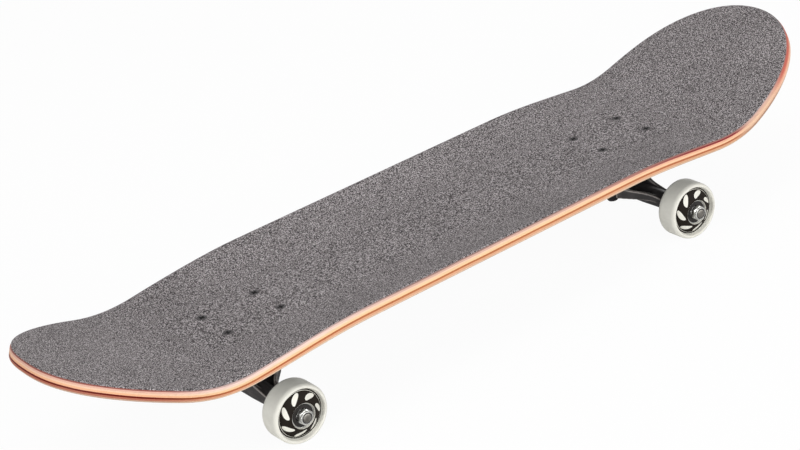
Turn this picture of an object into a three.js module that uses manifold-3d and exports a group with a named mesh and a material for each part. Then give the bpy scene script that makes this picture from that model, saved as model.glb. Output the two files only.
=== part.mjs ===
// Street skateboard: a pressed seven-ply deck with grip tape, two trucks and four wheels.
// Millimetres, +Z up, +X towards the nose. The origin is on the ground, midway between the trucks.
import * as THREE from "three";
import { mergeVertices } from "three/addons/utils/BufferGeometryUtils.js";
import Module from "manifold-3d";

const wasm = await Module();
wasm.setup();

// ---- Clearances ----
const SEAT_GAP = 0.1; // between flat faces that are bolted or glued together
const TILTED_GAP = 0.3; // between pieces that are stacked on the leaning kingpin
const FIT_GAP = 0.2; // all round a pin or ring that is held in a hole
const RUNNING_GAP = 0.35; // all round a piece that turns in another
const CUT = 1; // how far a cutting tool reaches past the face that it cuts

// ---- Deck and grip tape ----
const DECK_LENGTH = 813;
const DECK_WIDTH = 203.2;
const DECK_THICKNESS = 11;
const GRIP_THICKNESS = 0.8;
const GRIP_INSET = 1;
const FLAT_HALF_WIDTH = 28.6; // the middle strip stays flat for the trucks
const CONCAVE_DEPTH = 13;
const CONCAVE_FULL_X = 145; // the concave is at its full depth up to here
const CONCAVE_END_X = 325; // and has faded out here
const NOSE_KICK = { start: 250, radius: 125, angle: 23 };
const TAIL_KICK = { start: 258, radius: 160, angle: 22 };
const NOSE_TAPER = { start: 269.5, along: 2.4, across: 2.06 };
const TAIL_TAPER = { start: 211, along: 2.78, across: 2.46 };
const DECK_COLUMNS = 44;
const DECK_ROWS = 10;
const FLAT_ROWS = 2;
const TIP_SHARE = 0.999; // how much of the half length the columns take up

// ---- Wheels and bearings ----
const WHEEL_DIAMETER = 53;
const WHEEL_HUB_WIDTH = 26.8;
const WHEEL_TREAD_WIDTH = 21.8;
const WHEEL_LIP_RADIUS = 3.5;
const WHEEL_HUB_FACE_RADIUS = 12.2;
const WHEEL_VALLEY_RADIUS = 21.3;
const WHEEL_VALLEY_DEPTH = 2.2;
const WHEEL_CORE_BORE_RADIUS = 8.5;
const WHEEL_SIDES = 28;
const BEARING_OUTER_DIAMETER = 22;
const BEARING_WIDTH = 7;
const BEARING_RACE_WALL = 1.8;
const BEARING_SHIELD_THICKNESS = 0.8;
const INNER_RING_RADIUS = 6.1;
const SPACER_LENGTH = 10;
const SPACER_RADIUS = 5.2;
const SPEED_WASHER_THICKNESS = 0.8;
const BEARING_SIDES = 16;

// ---- Axles ----
const AXLE_DIAMETER = 7.94;
const AXLE_STICK_OUT = 0.5; // past the lock nut
const AXLE_CHAMFER = 0.8;
const AXLE_NUT_FLATS = 12.7;
const AXLE_NUT_HEIGHT = 6;

// ---- Trucks, from the middle of the bolt pattern on the deck's underside ----
const WHEELBASE = 361.95; // between the two inner rows of bolts
const BOLT_SPACING_X = 53.975;
const BOLT_SPACING_Y = 41.275;
const AXLE_X = 13.3;
const TRUCK_HEIGHT = 48;
const STEER_AXIS_ANGLE = 25; // from the deck, rising outwards
const RING_X = -15.5; // middle of the hanger's ring, on the steering axis
const RING_DROP = 28.8;

// ---- Baseplate ----
const PLATE_LENGTH = 82;
const PLATE_WIDTH = 57;
const PLATE_THICKNESS = 6.5;
const PLATE_CORNER_RADIUS = 9;
const CORNER_STEPS = 5;
const KINGPIN_BOSS_RADIUS = 13.5;
const KINGPIN_SEAT_WALL = 4.4;
const PIVOT_HOUSING_START = 37.5; // along the steering axis from the ring's middle
const PIVOT_HOUSING_LENGTH = 14.5;
const PIVOT_HOUSING_WALL = 3.8;

// ---- Pivot cup and pivot ----
const CUP_RADIUS = 7.5;
const CUP_DEPTH = 11;
const CUP_END_WALL = 1.9;
const PIVOT_RADIUS = 5;
const CUP_MOUTH_FLARE = 0.7;
const PIVOT_ARC_STEPS = 4;

// ---- Kingpin stack, along the kingpin ----
const KINGPIN_DIAMETER = 9.5;
const KINGPIN_HEAD_FLATS = 14.3;
const KINGPIN_HEAD_HEIGHT = 5;
const KINGPIN_NUT_HEIGHT = 8.5;
const KINGPIN_STICK_OUT = 2.5;
const KINGPIN_CHAMFER = 1;
const BUSHING_RADIUS = 12.2;
const BOARD_BUSHING_HEIGHT = 13.2;
const ROAD_BUSHING_HEIGHT = 11;
const ROAD_BUSHING_END_RADIUS = 9;
const BUSHING_CHAMFER = 1.2;
const BUSHING_BORE_RADIUS = 5;
const WASHER_THICKNESS = 1.5;
const WASHER_LIP_HEIGHT = 1.4;
const WASHER_LIP_WALL = 0.9;

// ---- Hanger ----
const HANGER_HALF_WIDTH = 68.5;
const BARREL_MIDDLE_RADIUS = 9;
const BARREL_END_RADIUS = 7.6;
const RING_RADIUS = 15.6;
const RING_HALF_HEIGHT = 4.5;
const RING_SEAT_DEPTH = 2.5;
const RING_SEAT_CLEARANCE = 0.4;
const RING_BORE_RADIUS = 6.2;
const ARM_START_RADIUS = 9.6;
const ARM_END_RADIUS = 6.4;
const ARM_CHAMFER = 1;
const ARM_TO_HOUSING = 1; // along the steering axis
const BARREL_CHAMFER = 1;
const WING_OUTBOARD = 8; // outboard face, from the axle
const WING_TIP = { y: 60, rise: 3.7, inboard: 8 }; // rises and inboard edges are from the axle
const WING_BEND = { y: 48, inboard: 8 }; // where the inboard edge turns towards the ring
const WING_SHOULDER = { y: 26, rise: 11.5, inboard: 26 };
const WING_ROOT = { y: 19, rise: 20, inboard: 30 };
const WING_RIB = 3.6;
const POCKET_FLOOR_RISE = 4;
const BLOCK_HALF_WIDTH = 13;
const NUT_RELIEF_HALF_WIDTH = 17;
const NUT_RELIEF_REACH = 9.6;

// ---- Truck bolts ----
const BOLT_DIAMETER = 4.83;
const BOLT_HEAD_RADIUS = 4.7;
const BOLT_HEAD_DEPTH = 2.8;
const BOLT_STICK_OUT = 1.2;
const BOLT_NUT_FLATS = 9.5;
const BOLT_NUT_HEIGHT = 5;
const BOLT_RECESS_SPAN = 4.6;
const BOLT_RECESS_WIDTH = 1.1;
const BOLT_RECESS_DEPTH = 1.8;
const SMALL_SIDES = 10;
const PIN_SIDES = 12;
const STACK_SIDES = 16;
const NUT_CHAMFER_ANGLE = 30;

// ---- Sizes that follow ----
const AXLE_Z = WHEEL_DIAMETER / 2;
const DECK_UNDERSIDE_Z = AXLE_Z + TRUCK_HEIGHT + SEAT_GAP;
const DECK_TOP_Z = DECK_UNDERSIDE_Z + DECK_THICKNESS;
const GRIP_TOP_Z = DECK_TOP_Z + SEAT_GAP + GRIP_THICKNESS;
const TRUCK_CENTRE_X = (WHEELBASE + BOLT_SPACING_X) / 2;
const STEER_TILT = THREE.MathUtils.degToRad(STEER_AXIS_ANGLE);
const BEARING_STACK = 2 * BEARING_WIDTH + SPACER_LENGTH;
const WHEEL_CENTRE_Y = HANGER_HALF_WIDTH + SPEED_WASHER_THICKNESS + SEAT_GAP + BEARING_STACK / 2;
const AXLE_NUT_Y = WHEEL_CENTRE_Y + BEARING_STACK / 2 + SPEED_WASHER_THICKNESS + SEAT_GAP;
const AXLE_HALF_LENGTH = AXLE_NUT_Y + AXLE_NUT_HEIGHT + AXLE_STICK_OUT;
const SEAT_HEIGHT = RING_HALF_HEIGHT - RING_SEAT_DEPTH; // bushing seat, from the ring's middle
const BOARD_BUSHING_START = SEAT_HEIGHT + TILTED_GAP;
const BOARD_WASHER_START = BOARD_BUSHING_START + BOARD_BUSHING_HEIGHT + TILTED_GAP;
const KINGPIN_SEAT = BOARD_WASHER_START + WASHER_THICKNESS + TILTED_GAP;
const KINGPIN_HEAD_START = KINGPIN_SEAT + KINGPIN_SEAT_WALL + TILTED_GAP;
const ROAD_BUSHING_START = SEAT_HEIGHT + TILTED_GAP;
const ROAD_WASHER_START = ROAD_BUSHING_START + ROAD_BUSHING_HEIGHT + TILTED_GAP;
const KINGPIN_NUT_START = ROAD_WASHER_START + WASHER_THICKNESS + TILTED_GAP;
const KINGPIN_END = KINGPIN_NUT_START + KINGPIN_NUT_HEIGHT + KINGPIN_STICK_OUT;

// ---- Finishes ----
function finish(color, roughness, metalness) {
  return new THREE.MeshStandardMaterial({ color, roughness, metalness });
}

const MAPLE = finish(0xe0a878, 0.55, 0);
const GRIT = finish(0x5f5c5e, 0.95, 0);
const CAST_BLACK = finish(0x2b2a2c, 0.45, 0.3);
const BRIGHT_STEEL = finish(0xb9b9b5, 0.3, 1);
const AXLE_STEEL = finish(0x77756f, 0.4, 1);
const BLACK_STEEL = finish(0x1b1b1c, 0.4, 0.6);
const BLACK_URETHANE = finish(0x202022, 0.6, 0);
const WHITE_URETHANE = finish(0xd9dad2, 0.5, 0);
const BEARING_STEEL = finish(0x55534f, 0.35, 0.9);

// ---- Making solids ----

/** Turns a closed three.js geometry into a solid that can be joined and cut. */
function solid(geometry) {
  const bare = geometry.clone();
  bare.deleteAttribute("normal");
  bare.deleteAttribute("uv");
  const merged = mergeVertices(bare, 1e-4);
  const corners = merged.index.array;
  const kept = [];
  for (let i = 0; i < corners.length; i += 3) {
    const [a, b, c] = corners.slice(i, i + 3);
    if (a !== b && b !== c && c !== a) kept.push(a, b, c);
  }
  const vertProperties = new Float32Array(merged.attributes.position.array);
  return new wasm.Manifold(new wasm.Mesh({ numProp: 3, vertProperties, triVerts: new Uint32Array(kept) }));
}

/** Makes a named mesh from a solid, with its own copy of a finish. */
function piece(name, material, body) {
  const { numProp, vertProperties, triVerts } = body.getMesh();
  const geometry = new THREE.BufferGeometry();
  const points = new THREE.InterleavedBuffer(vertProperties, numProp);
  geometry.setAttribute("position", new THREE.InterleavedBufferAttribute(points, 3, 0));
  geometry.setIndex(new THREE.BufferAttribute(triVerts, 1));
  geometry.computeVertexNormals();
  const mesh = new THREE.Mesh(geometry, material.clone());
  mesh.name = name;
  return mesh;
}

/** A body turned about Z from a closed profile of [radius, height], outer side upwards. */
function turnedGeometry(profile, sides) {
  const points = profile.map(([radius, height]) => new THREE.Vector2(radius, height));
  return new THREE.LatheGeometry([...points, points[0]], sides).rotateX(Math.PI / 2);
}

const aboutZ = (profile, sides) => solid(turnedGeometry(profile, sides));
const aboutX = (profile, sides) => solid(turnedGeometry(profile, sides).rotateY(Math.PI / 2));
const aboutY = (profile, sides) => solid(turnedGeometry(profile, sides).rotateX(-Math.PI / 2));

/** A plain rod's profile, from one height to another. */
const rod = (radius, low, high) => [[0, low], [radius, low], [radius, high], [0, high]];

/** A box between two corners. */
function block(low, high) {
  const size = high.map((value, i) => value - low[i]);
  const middle = high.map((value, i) => (value + low[i]) / 2);
  return solid(new THREE.BoxGeometry(...size).translate(...middle));
}

/** A flat outline in X and Y, extruded from one height to another. */
function extruded(outline, low, high) {
  const shape = new THREE.Shape(outline.map(([x, y]) => new THREE.Vector2(x, y)));
  return new THREE.ExtrudeGeometry(shape, { depth: high - low, bevelEnabled: false }).translate(0, 0, low);
}

/** Leans a solid from the steering frame (X along the steering axis) into the truck's frame. */
function leaned(body) {
  const { numProp, vertProperties, triVerts } = body.getMesh();
  const points = new THREE.BufferAttribute(vertProperties, numProp).applyMatrix4(steerMatrix);
  return new wasm.Manifold(new wasm.Mesh({ numProp, vertProperties: points.array, triVerts }));
}

const steerMatrix = new THREE.Matrix4().makeRotationY(-STEER_TILT).setPosition(RING_X, 0, -RING_DROP);

/** A plain hexagon about Z, measured across its flats. */
function hexagon(flats, low, high) {
  const corner = flats / 2 / Math.cos(Math.PI / 6);
  const prism = new THREE.CylinderGeometry(corner, corner, high - low, 6).rotateX(Math.PI / 2);
  return solid(prism.translate(0, 0, (low + high) / 2));
}

/** A hexagon whose corners are turned down at its high end, as on a nut or a bolt's head. */
function chamferedHexagon(flats, low, high) {
  const corner = flats / 2 / Math.cos(Math.PI / 6) + CUT;
  const drop = (corner - flats / 2) * Math.tan(THREE.MathUtils.degToRad(NUT_CHAMFER_ANGLE));
  const cone = [[0, low], [corner, low], [corner, high - drop], [flats / 2, high], [0, high]];
  return hexagon(flats, low, high).intersect(aboutZ(cone, SMALL_SIDES));
}

// ---- Deck ----

const smoothstep = (low, high, x) => THREE.MathUtils.smoothstep(x, low, high);

/** Height that the kicked nose and tail add at x: an arc, and then a straight slope. */
function kickHeight(x) {
  const { start, radius, angle } = x > 0 ? NOSE_KICK : TAIL_KICK;
  const tilt = THREE.MathUtils.degToRad(angle);
  const run = Math.abs(x) - start;
  const bendRun = radius * Math.sin(tilt);
  if (run <= 0) return 0;
  if (run < bendRun) return radius - Math.sqrt(radius ** 2 - run ** 2);
  return radius * (1 - Math.cos(tilt)) + (run - bendRun) * Math.tan(tilt);
}

/** Height that the concave adds: a parabola outside the flat strip, fading out into the kicks. */
function concaveHeight(x, y) {
  const side = Math.max(Math.abs(y) - FLAT_HALF_WIDTH, 0) / (DECK_WIDTH / 2 - FLAT_HALF_WIDTH);
  return CONCAVE_DEPTH * (1 - smoothstep(CONCAVE_FULL_X, CONCAVE_END_X, Math.abs(x))) * side ** 2;
}

const surfaceHeight = (x, y) => kickHeight(x) + concaveHeight(x, y);

/** The upward normal of the pressed surface. */
function surfaceNormal(x, y) {
  const step = 0.01;
  const slopeX = (surfaceHeight(x + step, y) - surfaceHeight(x - step, y)) / (2 * step);
  const slopeY = (surfaceHeight(x, y + step) - surfaceHeight(x, y - step)) / (2 * step);
  return new THREE.Vector3(-slopeX, -slopeY, 1).normalize();
}

/** Half the width of the outline at x, for an outline of the given half length and half width. */
function outlineHalfWidth(x, halfLength, halfWidth) {
  const taper = x > 0 ? NOSE_TAPER : TAIL_TAPER;
  const along = Math.max(Math.abs(x) - taper.start, 0) / (halfLength - taper.start);
  return halfWidth * Math.max(1 - along ** taper.along, 0) ** (1 / taper.across);
}

/** Spaces the rows so that two lines run along the edges of the flat strip. */
function rowPlace(value) {
  const flatEdge = FLAT_HALF_WIDTH / (DECK_WIDTH / 2);
  const flatShare = FLAT_ROWS / DECK_ROWS;
  const size = Math.abs(value);
  const outside = flatEdge + ((size - flatShare) / (1 - flatShare)) * (1 - flatEdge);
  return Math.sign(value) * (size <= flatShare ? (size / flatShare) * flatEdge : outside);
}

/** Spaces the columns closely at the tips. The last ones leave a narrow face there. */
function columnPlace(value, inset) {
  return (DECK_LENGTH / 2 - inset) * TIP_SHARE * Math.sin((value * Math.PI) / 2);
}

/** A sheet pressed to the deck's shape: inset from its outline, between two heights over its top. */
function pressedSheet(inset, low, high) {
  const halfLength = DECK_LENGTH / 2 - inset;
  const halfWidth = DECK_WIDTH / 2 - inset;
  const sheet = new THREE.BoxGeometry(2, 2, 1, DECK_COLUMNS, DECK_ROWS, 1);
  const points = sheet.attributes.position;
  for (let i = 0; i < points.count; i += 1) {
    const x = columnPlace(points.getX(i), inset);
    const y = rowPlace(points.getY(i)) * outlineHalfWidth(x, halfLength, halfWidth);
    const place = new THREE.Vector3(x, y, DECK_TOP_Z + surfaceHeight(x, y));
    place.addScaledVector(surfaceNormal(x, y), points.getZ(i) > 0 ? high : low);
    points.setXYZ(i, place.x, place.y, place.z);
  }
  return solid(sheet);
}

/** Calls a function with the number and place of each of the eight truck bolts. */
function forEachBolt(visit) {
  for (const end of [1, -1]) {
    let number = 1;
    for (const dx of [1, -1]) {
      for (const dy of [1, -1]) {
        visit(end, number, (end * TRUCK_CENTRE_X) + (dx * BOLT_SPACING_X) / 2, (dy * BOLT_SPACING_Y) / 2);
        number += 1;
      }
    }
  }
}

/** A countersunk bolt about Z, flush with the grip tape, or the hole for it with a gap all round. */
function countersunk(gap, low, high) {
  const shank = BOLT_DIAMETER / 2 + gap;
  const head = BOLT_HEAD_RADIUS + gap;
  const neck = GRIP_TOP_Z - BOLT_HEAD_DEPTH;
  const profile = [[0, low], [shank, low], [shank, neck], [head, GRIP_TOP_Z], [head, high], [0, high]];
  return aboutZ(profile, SMALL_SIDES);
}

/** Drills every bolt hole through a sheet. */
function drilled(sheet) {
  const hole = countersunk(FIT_GAP, DECK_UNDERSIDE_Z - CUT, GRIP_TOP_Z + CUT);
  let body = sheet;
  forEachBolt((end, number, x, y) => {
    body = body.subtract(hole.translate([x, y, 0]));
  });
  return body;
}

/** The deck, and the tape that lies on it, whose underside is the deck's own top a gap higher. */
function makeDeck(group) {
  const deck = pressedSheet(0, -DECK_THICKNESS, 0);
  const tape = pressedSheet(GRIP_INSET, -CUT, SEAT_GAP + GRIP_THICKNESS);
  group.add(piece("deck", MAPLE, drilled(deck)));
  group.add(piece("grip_tape", GRIT, drilled(tape.subtract(deck.translate([0, 0, SEAT_GAP])))));
}

/** The bolts and lock nuts that hold a truck under the deck. */
function makeTruckBolts(group) {
  const nutTop = DECK_UNDERSIDE_Z - SEAT_GAP - PLATE_THICKNESS - SEAT_GAP;
  const low = nutTop - BOLT_NUT_HEIGHT - BOLT_STICK_OUT;
  const bore = BOLT_DIAMETER / 2 + FIT_GAP;
  const half = BOLT_RECESS_SPAN / 2;
  const slot = BOLT_RECESS_WIDTH / 2;
  const floor = GRIP_TOP_Z - BOLT_RECESS_DEPTH;
  const cross = block([-half, -slot, floor], [half, slot, GRIP_TOP_Z + CUT])
    .add(block([-slot, -half, floor], [slot, half, GRIP_TOP_Z + CUT]));
  const bolt = countersunk(0, low, GRIP_TOP_Z).subtract(cross);
  const nut = hexagon(BOLT_NUT_FLATS, nutTop - BOLT_NUT_HEIGHT, nutTop)
    .subtract(aboutZ(rod(bore, low, nutTop + CUT), SMALL_SIDES));
  forEachBolt((end, number, x, y) => {
    const truck = end > 0 ? "front" : "rear";
    group.add(piece(`${truck}_truck_bolt_${number}`, BLACK_STEEL, bolt.translate([x, y, 0])));
    group.add(piece(`${truck}_truck_nut_${number}`, BLACK_STEEL, nut.translate([x, y, 0])));
  });
}

// ---- Baseplate ----

function baseplateOutline() {
  const [x, y, r] = [PLATE_LENGTH / 2, PLATE_WIDTH / 2, PLATE_CORNER_RADIUS];
  const shape = new THREE.Shape();
  shape.absarc(x - r, y - r, r, 0, Math.PI / 2);
  shape.absarc(r - x, y - r, r, Math.PI / 2, Math.PI);
  shape.absarc(r - x, r - y, r, Math.PI, 1.5 * Math.PI);
  shape.absarc(x - r, r - y, r, 1.5 * Math.PI, 2 * Math.PI);
  return shape.getPoints(CORNER_STEPS).map((point) => [point.x, point.y]);
}

/** Plate, kingpin boss and pivot housing in one casting, cut off flat at its top face. */
function makeBaseplate() {
  const outline = baseplateOutline();
  const plate = solid(extruded(outline, -PLATE_THICKNESS, 0));
  const bossEnd = RING_DROP + KINGPIN_BOSS_RADIUS;
  const boss = leaned(aboutZ(rod(KINGPIN_BOSS_RADIUS, KINGPIN_SEAT, bossEnd), STACK_SIDES));
  const housingRadius = CUP_RADIUS + PIVOT_HOUSING_WALL;
  const housingEnd = PIVOT_HOUSING_START + PIVOT_HOUSING_LENGTH;
  const housing = leaned(aboutX(rod(housingRadius, PIVOT_HOUSING_START, housingEnd), STACK_SIDES)
    .add(block([PIVOT_HOUSING_START, -housingRadius, 0], [housingEnd, housingRadius, RING_DROP])));
  const casting = solid(extruded(outline, -TRUCK_HEIGHT, 0));
  const socketEnd = PIVOT_HOUSING_START + CUP_DEPTH + FIT_GAP;
  const socket = rod(CUP_RADIUS + FIT_GAP, PIVOT_HOUSING_START - CUT, socketEnd);
  const kingpinBore = rod(KINGPIN_DIAMETER / 2 + FIT_GAP, KINGPIN_SEAT - CUT, KINGPIN_HEAD_START);
  const pocketFloor = KINGPIN_HEAD_START - TILTED_GAP;
  const headPocket = hexagon(KINGPIN_HEAD_FLATS + 2 * TILTED_GAP, pocketFloor, 2 * RING_DROP);
  let body = plate.add(boss).add(housing).intersect(casting);
  body = body.subtract(leaned(aboutX(socket, STACK_SIDES)));
  body = body.subtract(leaned(aboutZ(kingpinBore, PIN_SIDES).add(headPocket)));
  for (const dx of [-1, 1]) {
    for (const dy of [-1, 1]) {
      const hole = aboutZ(rod(BOLT_DIAMETER / 2 + FIT_GAP, -PLATE_THICKNESS - CUT, CUT), SMALL_SIDES);
      body = body.subtract(hole.translate([(dx * BOLT_SPACING_X) / 2, (dy * BOLT_SPACING_Y) / 2, 0]));
    }
  }
  return body;
}

// ---- Pivot cup and kingpin stack, in the steering frame ----

const PIVOT_CENTRE = PIVOT_HOUSING_START + CUP_DEPTH - CUP_END_WALL - PIVOT_RADIUS - RUNNING_GAP;

/** Quarter circle from the side of a round end to its tip on the axis. */
function roundEnd(radius, centre, steps) {
  const arc = [];
  for (let i = 0; i <= steps; i += 1) {
    const angle = (i / steps) * (Math.PI / 2);
    arc.push([i === steps ? 0 : radius * Math.cos(angle), centre + radius * Math.sin(angle)]);
  }
  return arc;
}

function makePivotCup() {
  const end = PIVOT_HOUSING_START + CUP_DEPTH;
  const mouth = PIVOT_RADIUS + RUNNING_GAP + CUP_MOUTH_FLARE;
  const cavity = roundEnd(PIVOT_RADIUS + RUNNING_GAP, PIVOT_CENTRE, PIVOT_ARC_STEPS).reverse();
  const start = PIVOT_HOUSING_START;
  return aboutX([[mouth, start], [CUP_RADIUS, start], [CUP_RADIUS, end], [0, end], ...cavity], STACK_SIDES);
}

function makeKingpin() {
  const headTop = KINGPIN_HEAD_START + KINGPIN_HEAD_HEIGHT;
  const radius = KINGPIN_DIAMETER / 2;
  const shank = [
    [0, -KINGPIN_END], [radius - KINGPIN_CHAMFER, -KINGPIN_END], [radius, KINGPIN_CHAMFER - KINGPIN_END],
    [radius, KINGPIN_HEAD_START + CUT], [0, KINGPIN_HEAD_START + CUT],
  ];
  const head = chamferedHexagon(KINGPIN_HEAD_FLATS, KINGPIN_HEAD_START, headTop);
  return aboutZ(shank, PIN_SIDES).add(head);
}

function makeKingpinNut() {
  const bore = rod(KINGPIN_DIAMETER / 2 + FIT_GAP, -CUT, KINGPIN_NUT_HEIGHT + CUT);
  const nut = chamferedHexagon(KINGPIN_HEAD_FLATS, 0, KINGPIN_NUT_HEIGHT).subtract(aboutZ(bore, PIN_SIDES));
  return nut.rotate([180, 0, 0]).translate([0, 0, -KINGPIN_NUT_START]);
}

function makeBoardBushing() {
  const [low, high] = [BOARD_BUSHING_START, BOARD_BUSHING_START + BOARD_BUSHING_HEIGHT];
  const edge = BUSHING_RADIUS - BUSHING_CHAMFER;
  return aboutZ([
    [BUSHING_BORE_RADIUS, low], [edge, low], [BUSHING_RADIUS, low + BUSHING_CHAMFER],
    [BUSHING_RADIUS, high - BUSHING_CHAMFER], [edge, high], [BUSHING_BORE_RADIUS, high],
  ], STACK_SIDES);
}

function makeRoadBushing() {
  const [low, high] = [-ROAD_BUSHING_START - ROAD_BUSHING_HEIGHT, -ROAD_BUSHING_START];
  return aboutZ([
    [BUSHING_BORE_RADIUS, low], [ROAD_BUSHING_END_RADIUS - BUSHING_CHAMFER / 2, low],
    [ROAD_BUSHING_END_RADIUS, low + BUSHING_CHAMFER], [BUSHING_RADIUS, high - BUSHING_CHAMFER],
    [BUSHING_RADIUS - BUSHING_CHAMFER / 2, high], [BUSHING_BORE_RADIUS, high],
  ], STACK_SIDES);
}

/** A cup washer whose lip holds a bushing's end; the lip points along the direction, 1 or -1. */
function makeCupWasher(heldRadius, start, direction) {
  const lip = heldRadius + RING_SEAT_CLEARANCE;
  const rim = lip + WASHER_LIP_WALL;
  const back = start + WASHER_THICKNESS;
  const front = start - WASHER_LIP_HEIGHT;
  const bore = BUSHING_BORE_RADIUS;
  const profile = [[bore, start], [lip, start], [lip, front], [rim, front], [rim, back], [bore, back]];
  if (direction > 0) return aboutZ(profile, STACK_SIDES);
  return aboutZ(profile.map(([radius, height]) => [radius, -height]).reverse(), STACK_SIDES);
}

// ---- Hanger ----

/** The turned barrel that holds the axle, with its middle on the origin. */
function barrel() {
  const end = HANGER_HALF_WIDTH;
  const shoulder = end - BARREL_CHAMFER;
  const face = BARREL_END_RADIUS - BARREL_CHAMFER;
  return aboutY([
    [0, -end], [face, -end], [BARREL_END_RADIUS, -shoulder],
    [BARREL_MIDDLE_RADIUS, -WING_SHOULDER.y], [BARREL_MIDDLE_RADIUS, WING_SHOULDER.y],
    [BARREL_END_RADIUS, shoulder], [face, end], [0, end],
  ], STACK_SIDES);
}

/** The wings' elevation, across Y and up Z from the axle, extruded along X between two places. */
function wingElevation(lowX, highX) {
  const half = [WING_TIP, WING_SHOULDER, WING_ROOT].map(({ y, rise }) => [y, rise]);
  const mirrored = half.map(([y, rise]) => [-y, rise]).reverse();
  const outline = [[-WING_TIP.y, 0], [WING_TIP.y, 0], ...half, ...mirrored];
  const upright = new THREE.Matrix4().makeBasis(
    new THREE.Vector3(0, 1, 0), new THREE.Vector3(0, 0, 1), new THREE.Vector3(1, 0, 0),
  );
  return solid(extruded(outline, lowX, highX).applyMatrix4(upright));
}

/** The wings' plan: a straight outboard edge, and an inboard edge that turns in to the ring. */
function wingPlan(inset) {
  const half = [WING_TIP, WING_BEND, WING_SHOULDER, WING_ROOT].map(({ y, inboard }) => [inset - inboard, y]);
  const mirrored = half.map(([x, y]) => [x, -y]).reverse();
  const outboard = WING_OUTBOARD - inset;
  const outline = [[outboard, -WING_TIP.y], [outboard, WING_TIP.y], ...half, ...mirrored];
  return solid(extruded(outline, -TRUCK_HEIGHT, TRUCK_HEIGHT));
}

/** Wings on both sides of the barrel, hollowed from above so that two ribs are left. */
function wings() {
  const reach = WING_ROOT.inboard + CUT;
  const full = wingElevation(-reach, WING_OUTBOARD + CUT).intersect(wingPlan(0));
  const pocket = block([-reach, -WING_TIP.y, POCKET_FLOOR_RISE], [reach, WING_TIP.y, TRUCK_HEIGHT])
    .intersect(wingPlan(WING_RIB));
  const middle = block([-reach, -BLOCK_HALF_WIDTH, -CUT], [reach, BLOCK_HALF_WIDTH, TRUCK_HEIGHT + CUT]);
  return full.subtract(pocket.subtract(middle));
}

/** The middle block's side view in the steering frame, between the arm and the barrel. */
function middleBlock() {
  const axleRise = -TRUCK_HEIGHT + RING_DROP;
  const reach = AXLE_X - RING_X;
  const along = reach * Math.cos(STEER_TILT) + axleRise * Math.sin(STEER_TILT);
  const up = axleRise * Math.cos(STEER_TILT) - reach * Math.sin(STEER_TILT);
  const outline = [
    [NUT_RELIEF_REACH, 0], [NUT_RELIEF_REACH, up + BARREL_END_RADIUS / 2], [along, up],
    [PIVOT_HOUSING_START - ARM_END_RADIUS, up / 2], [PIVOT_HOUSING_START - ARM_END_RADIUS, 0],
  ];
  return solid(extruded(outline, -BLOCK_HALF_WIDTH, BLOCK_HALF_WIDTH).rotateX(Math.PI / 2));
}

/** Ring, arm and pivot nose in the steering frame. */
function ringAndArm() {
  const armEnd = PIVOT_HOUSING_START - ARM_TO_HOUSING;
  const arm = [
    [0, 0], [ARM_START_RADIUS, RING_SEAT_DEPTH], [ARM_START_RADIUS, RING_RADIUS],
    [ARM_END_RADIUS, armEnd - ARM_CHAMFER], [PIVOT_RADIUS, armEnd],
    ...roundEnd(PIVOT_RADIUS, PIVOT_CENTRE, PIVOT_ARC_STEPS),
  ];
  const ring = aboutZ(rod(RING_RADIUS, -RING_HALF_HEIGHT, RING_HALF_HEIGHT), STACK_SIDES);
  return ring.add(aboutX(arm, STACK_SIDES));
}

/** What is cut from the hanger round the kingpin: its bore, the bushing seats and the nut's swing. */
function kingpinRelief() {
  const seat = BUSHING_RADIUS + RING_SEAT_CLEARANCE;
  const far = TRUCK_HEIGHT;
  const swing = block([-far, -NUT_RELIEF_HALF_WIDTH, -far], [NUT_RELIEF_REACH, NUT_RELIEF_HALF_WIDTH, 0]);
  const ringLevel = block([-far, -far, -RING_HALF_HEIGHT], [far, far, far]);
  return aboutZ(rod(RING_BORE_RADIUS, -RING_HALF_HEIGHT, far), STACK_SIDES)
    .add(aboutZ(rod(seat, SEAT_HEIGHT, far), STACK_SIDES))
    .add(aboutZ(rod(seat, -KINGPIN_NUT_START, -SEAT_HEIGHT), STACK_SIDES))
    .add(swing.subtract(ringLevel));
}

function makeHanger() {
  const axle = [AXLE_X, 0, -TRUCK_HEIGHT];
  const reach = HANGER_HALF_WIDTH + CUT;
  const axleBore = aboutY(rod(AXLE_DIAMETER / 2 + FIT_GAP, -reach, reach), PIN_SIDES);
  return barrel().add(wings()).translate(axle)
    .add(leaned(middleBlock().add(ringAndArm())))
    .subtract(leaned(kingpinRelief()))
    .subtract(axleBore.translate(axle));
}

// ---- Axle, nuts, bearings and wheels ----

function makeAxle() {
  const radius = AXLE_DIAMETER / 2;
  const end = AXLE_HALF_LENGTH;
  const shoulder = end - AXLE_CHAMFER;
  return aboutY([
    [0, -end], [radius - AXLE_CHAMFER, -end], [radius, -shoulder],
    [radius, shoulder], [radius - AXLE_CHAMFER, end], [0, end],
  ], PIN_SIDES).translate([AXLE_X, 0, -TRUCK_HEIGHT]);
}

/** The axle's lock nut, standing along +Y from its inner face. */
function makeAxleNut() {
  const bore = rod(AXLE_DIAMETER / 2 + FIT_GAP, -CUT, AXLE_NUT_HEIGHT + CUT);
  const nut = chamferedHexagon(AXLE_NUT_FLATS, 0, AXLE_NUT_HEIGHT).subtract(aboutZ(bore, PIN_SIDES));
  return nut.rotate([-90, 0, 0]);
}

/** The tread's radius at its corners, so that its flats stand at the wheel's own radius. */
const treadCorner = (radius) => radius / Math.cos(Math.PI / WHEEL_SIDES);

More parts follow.
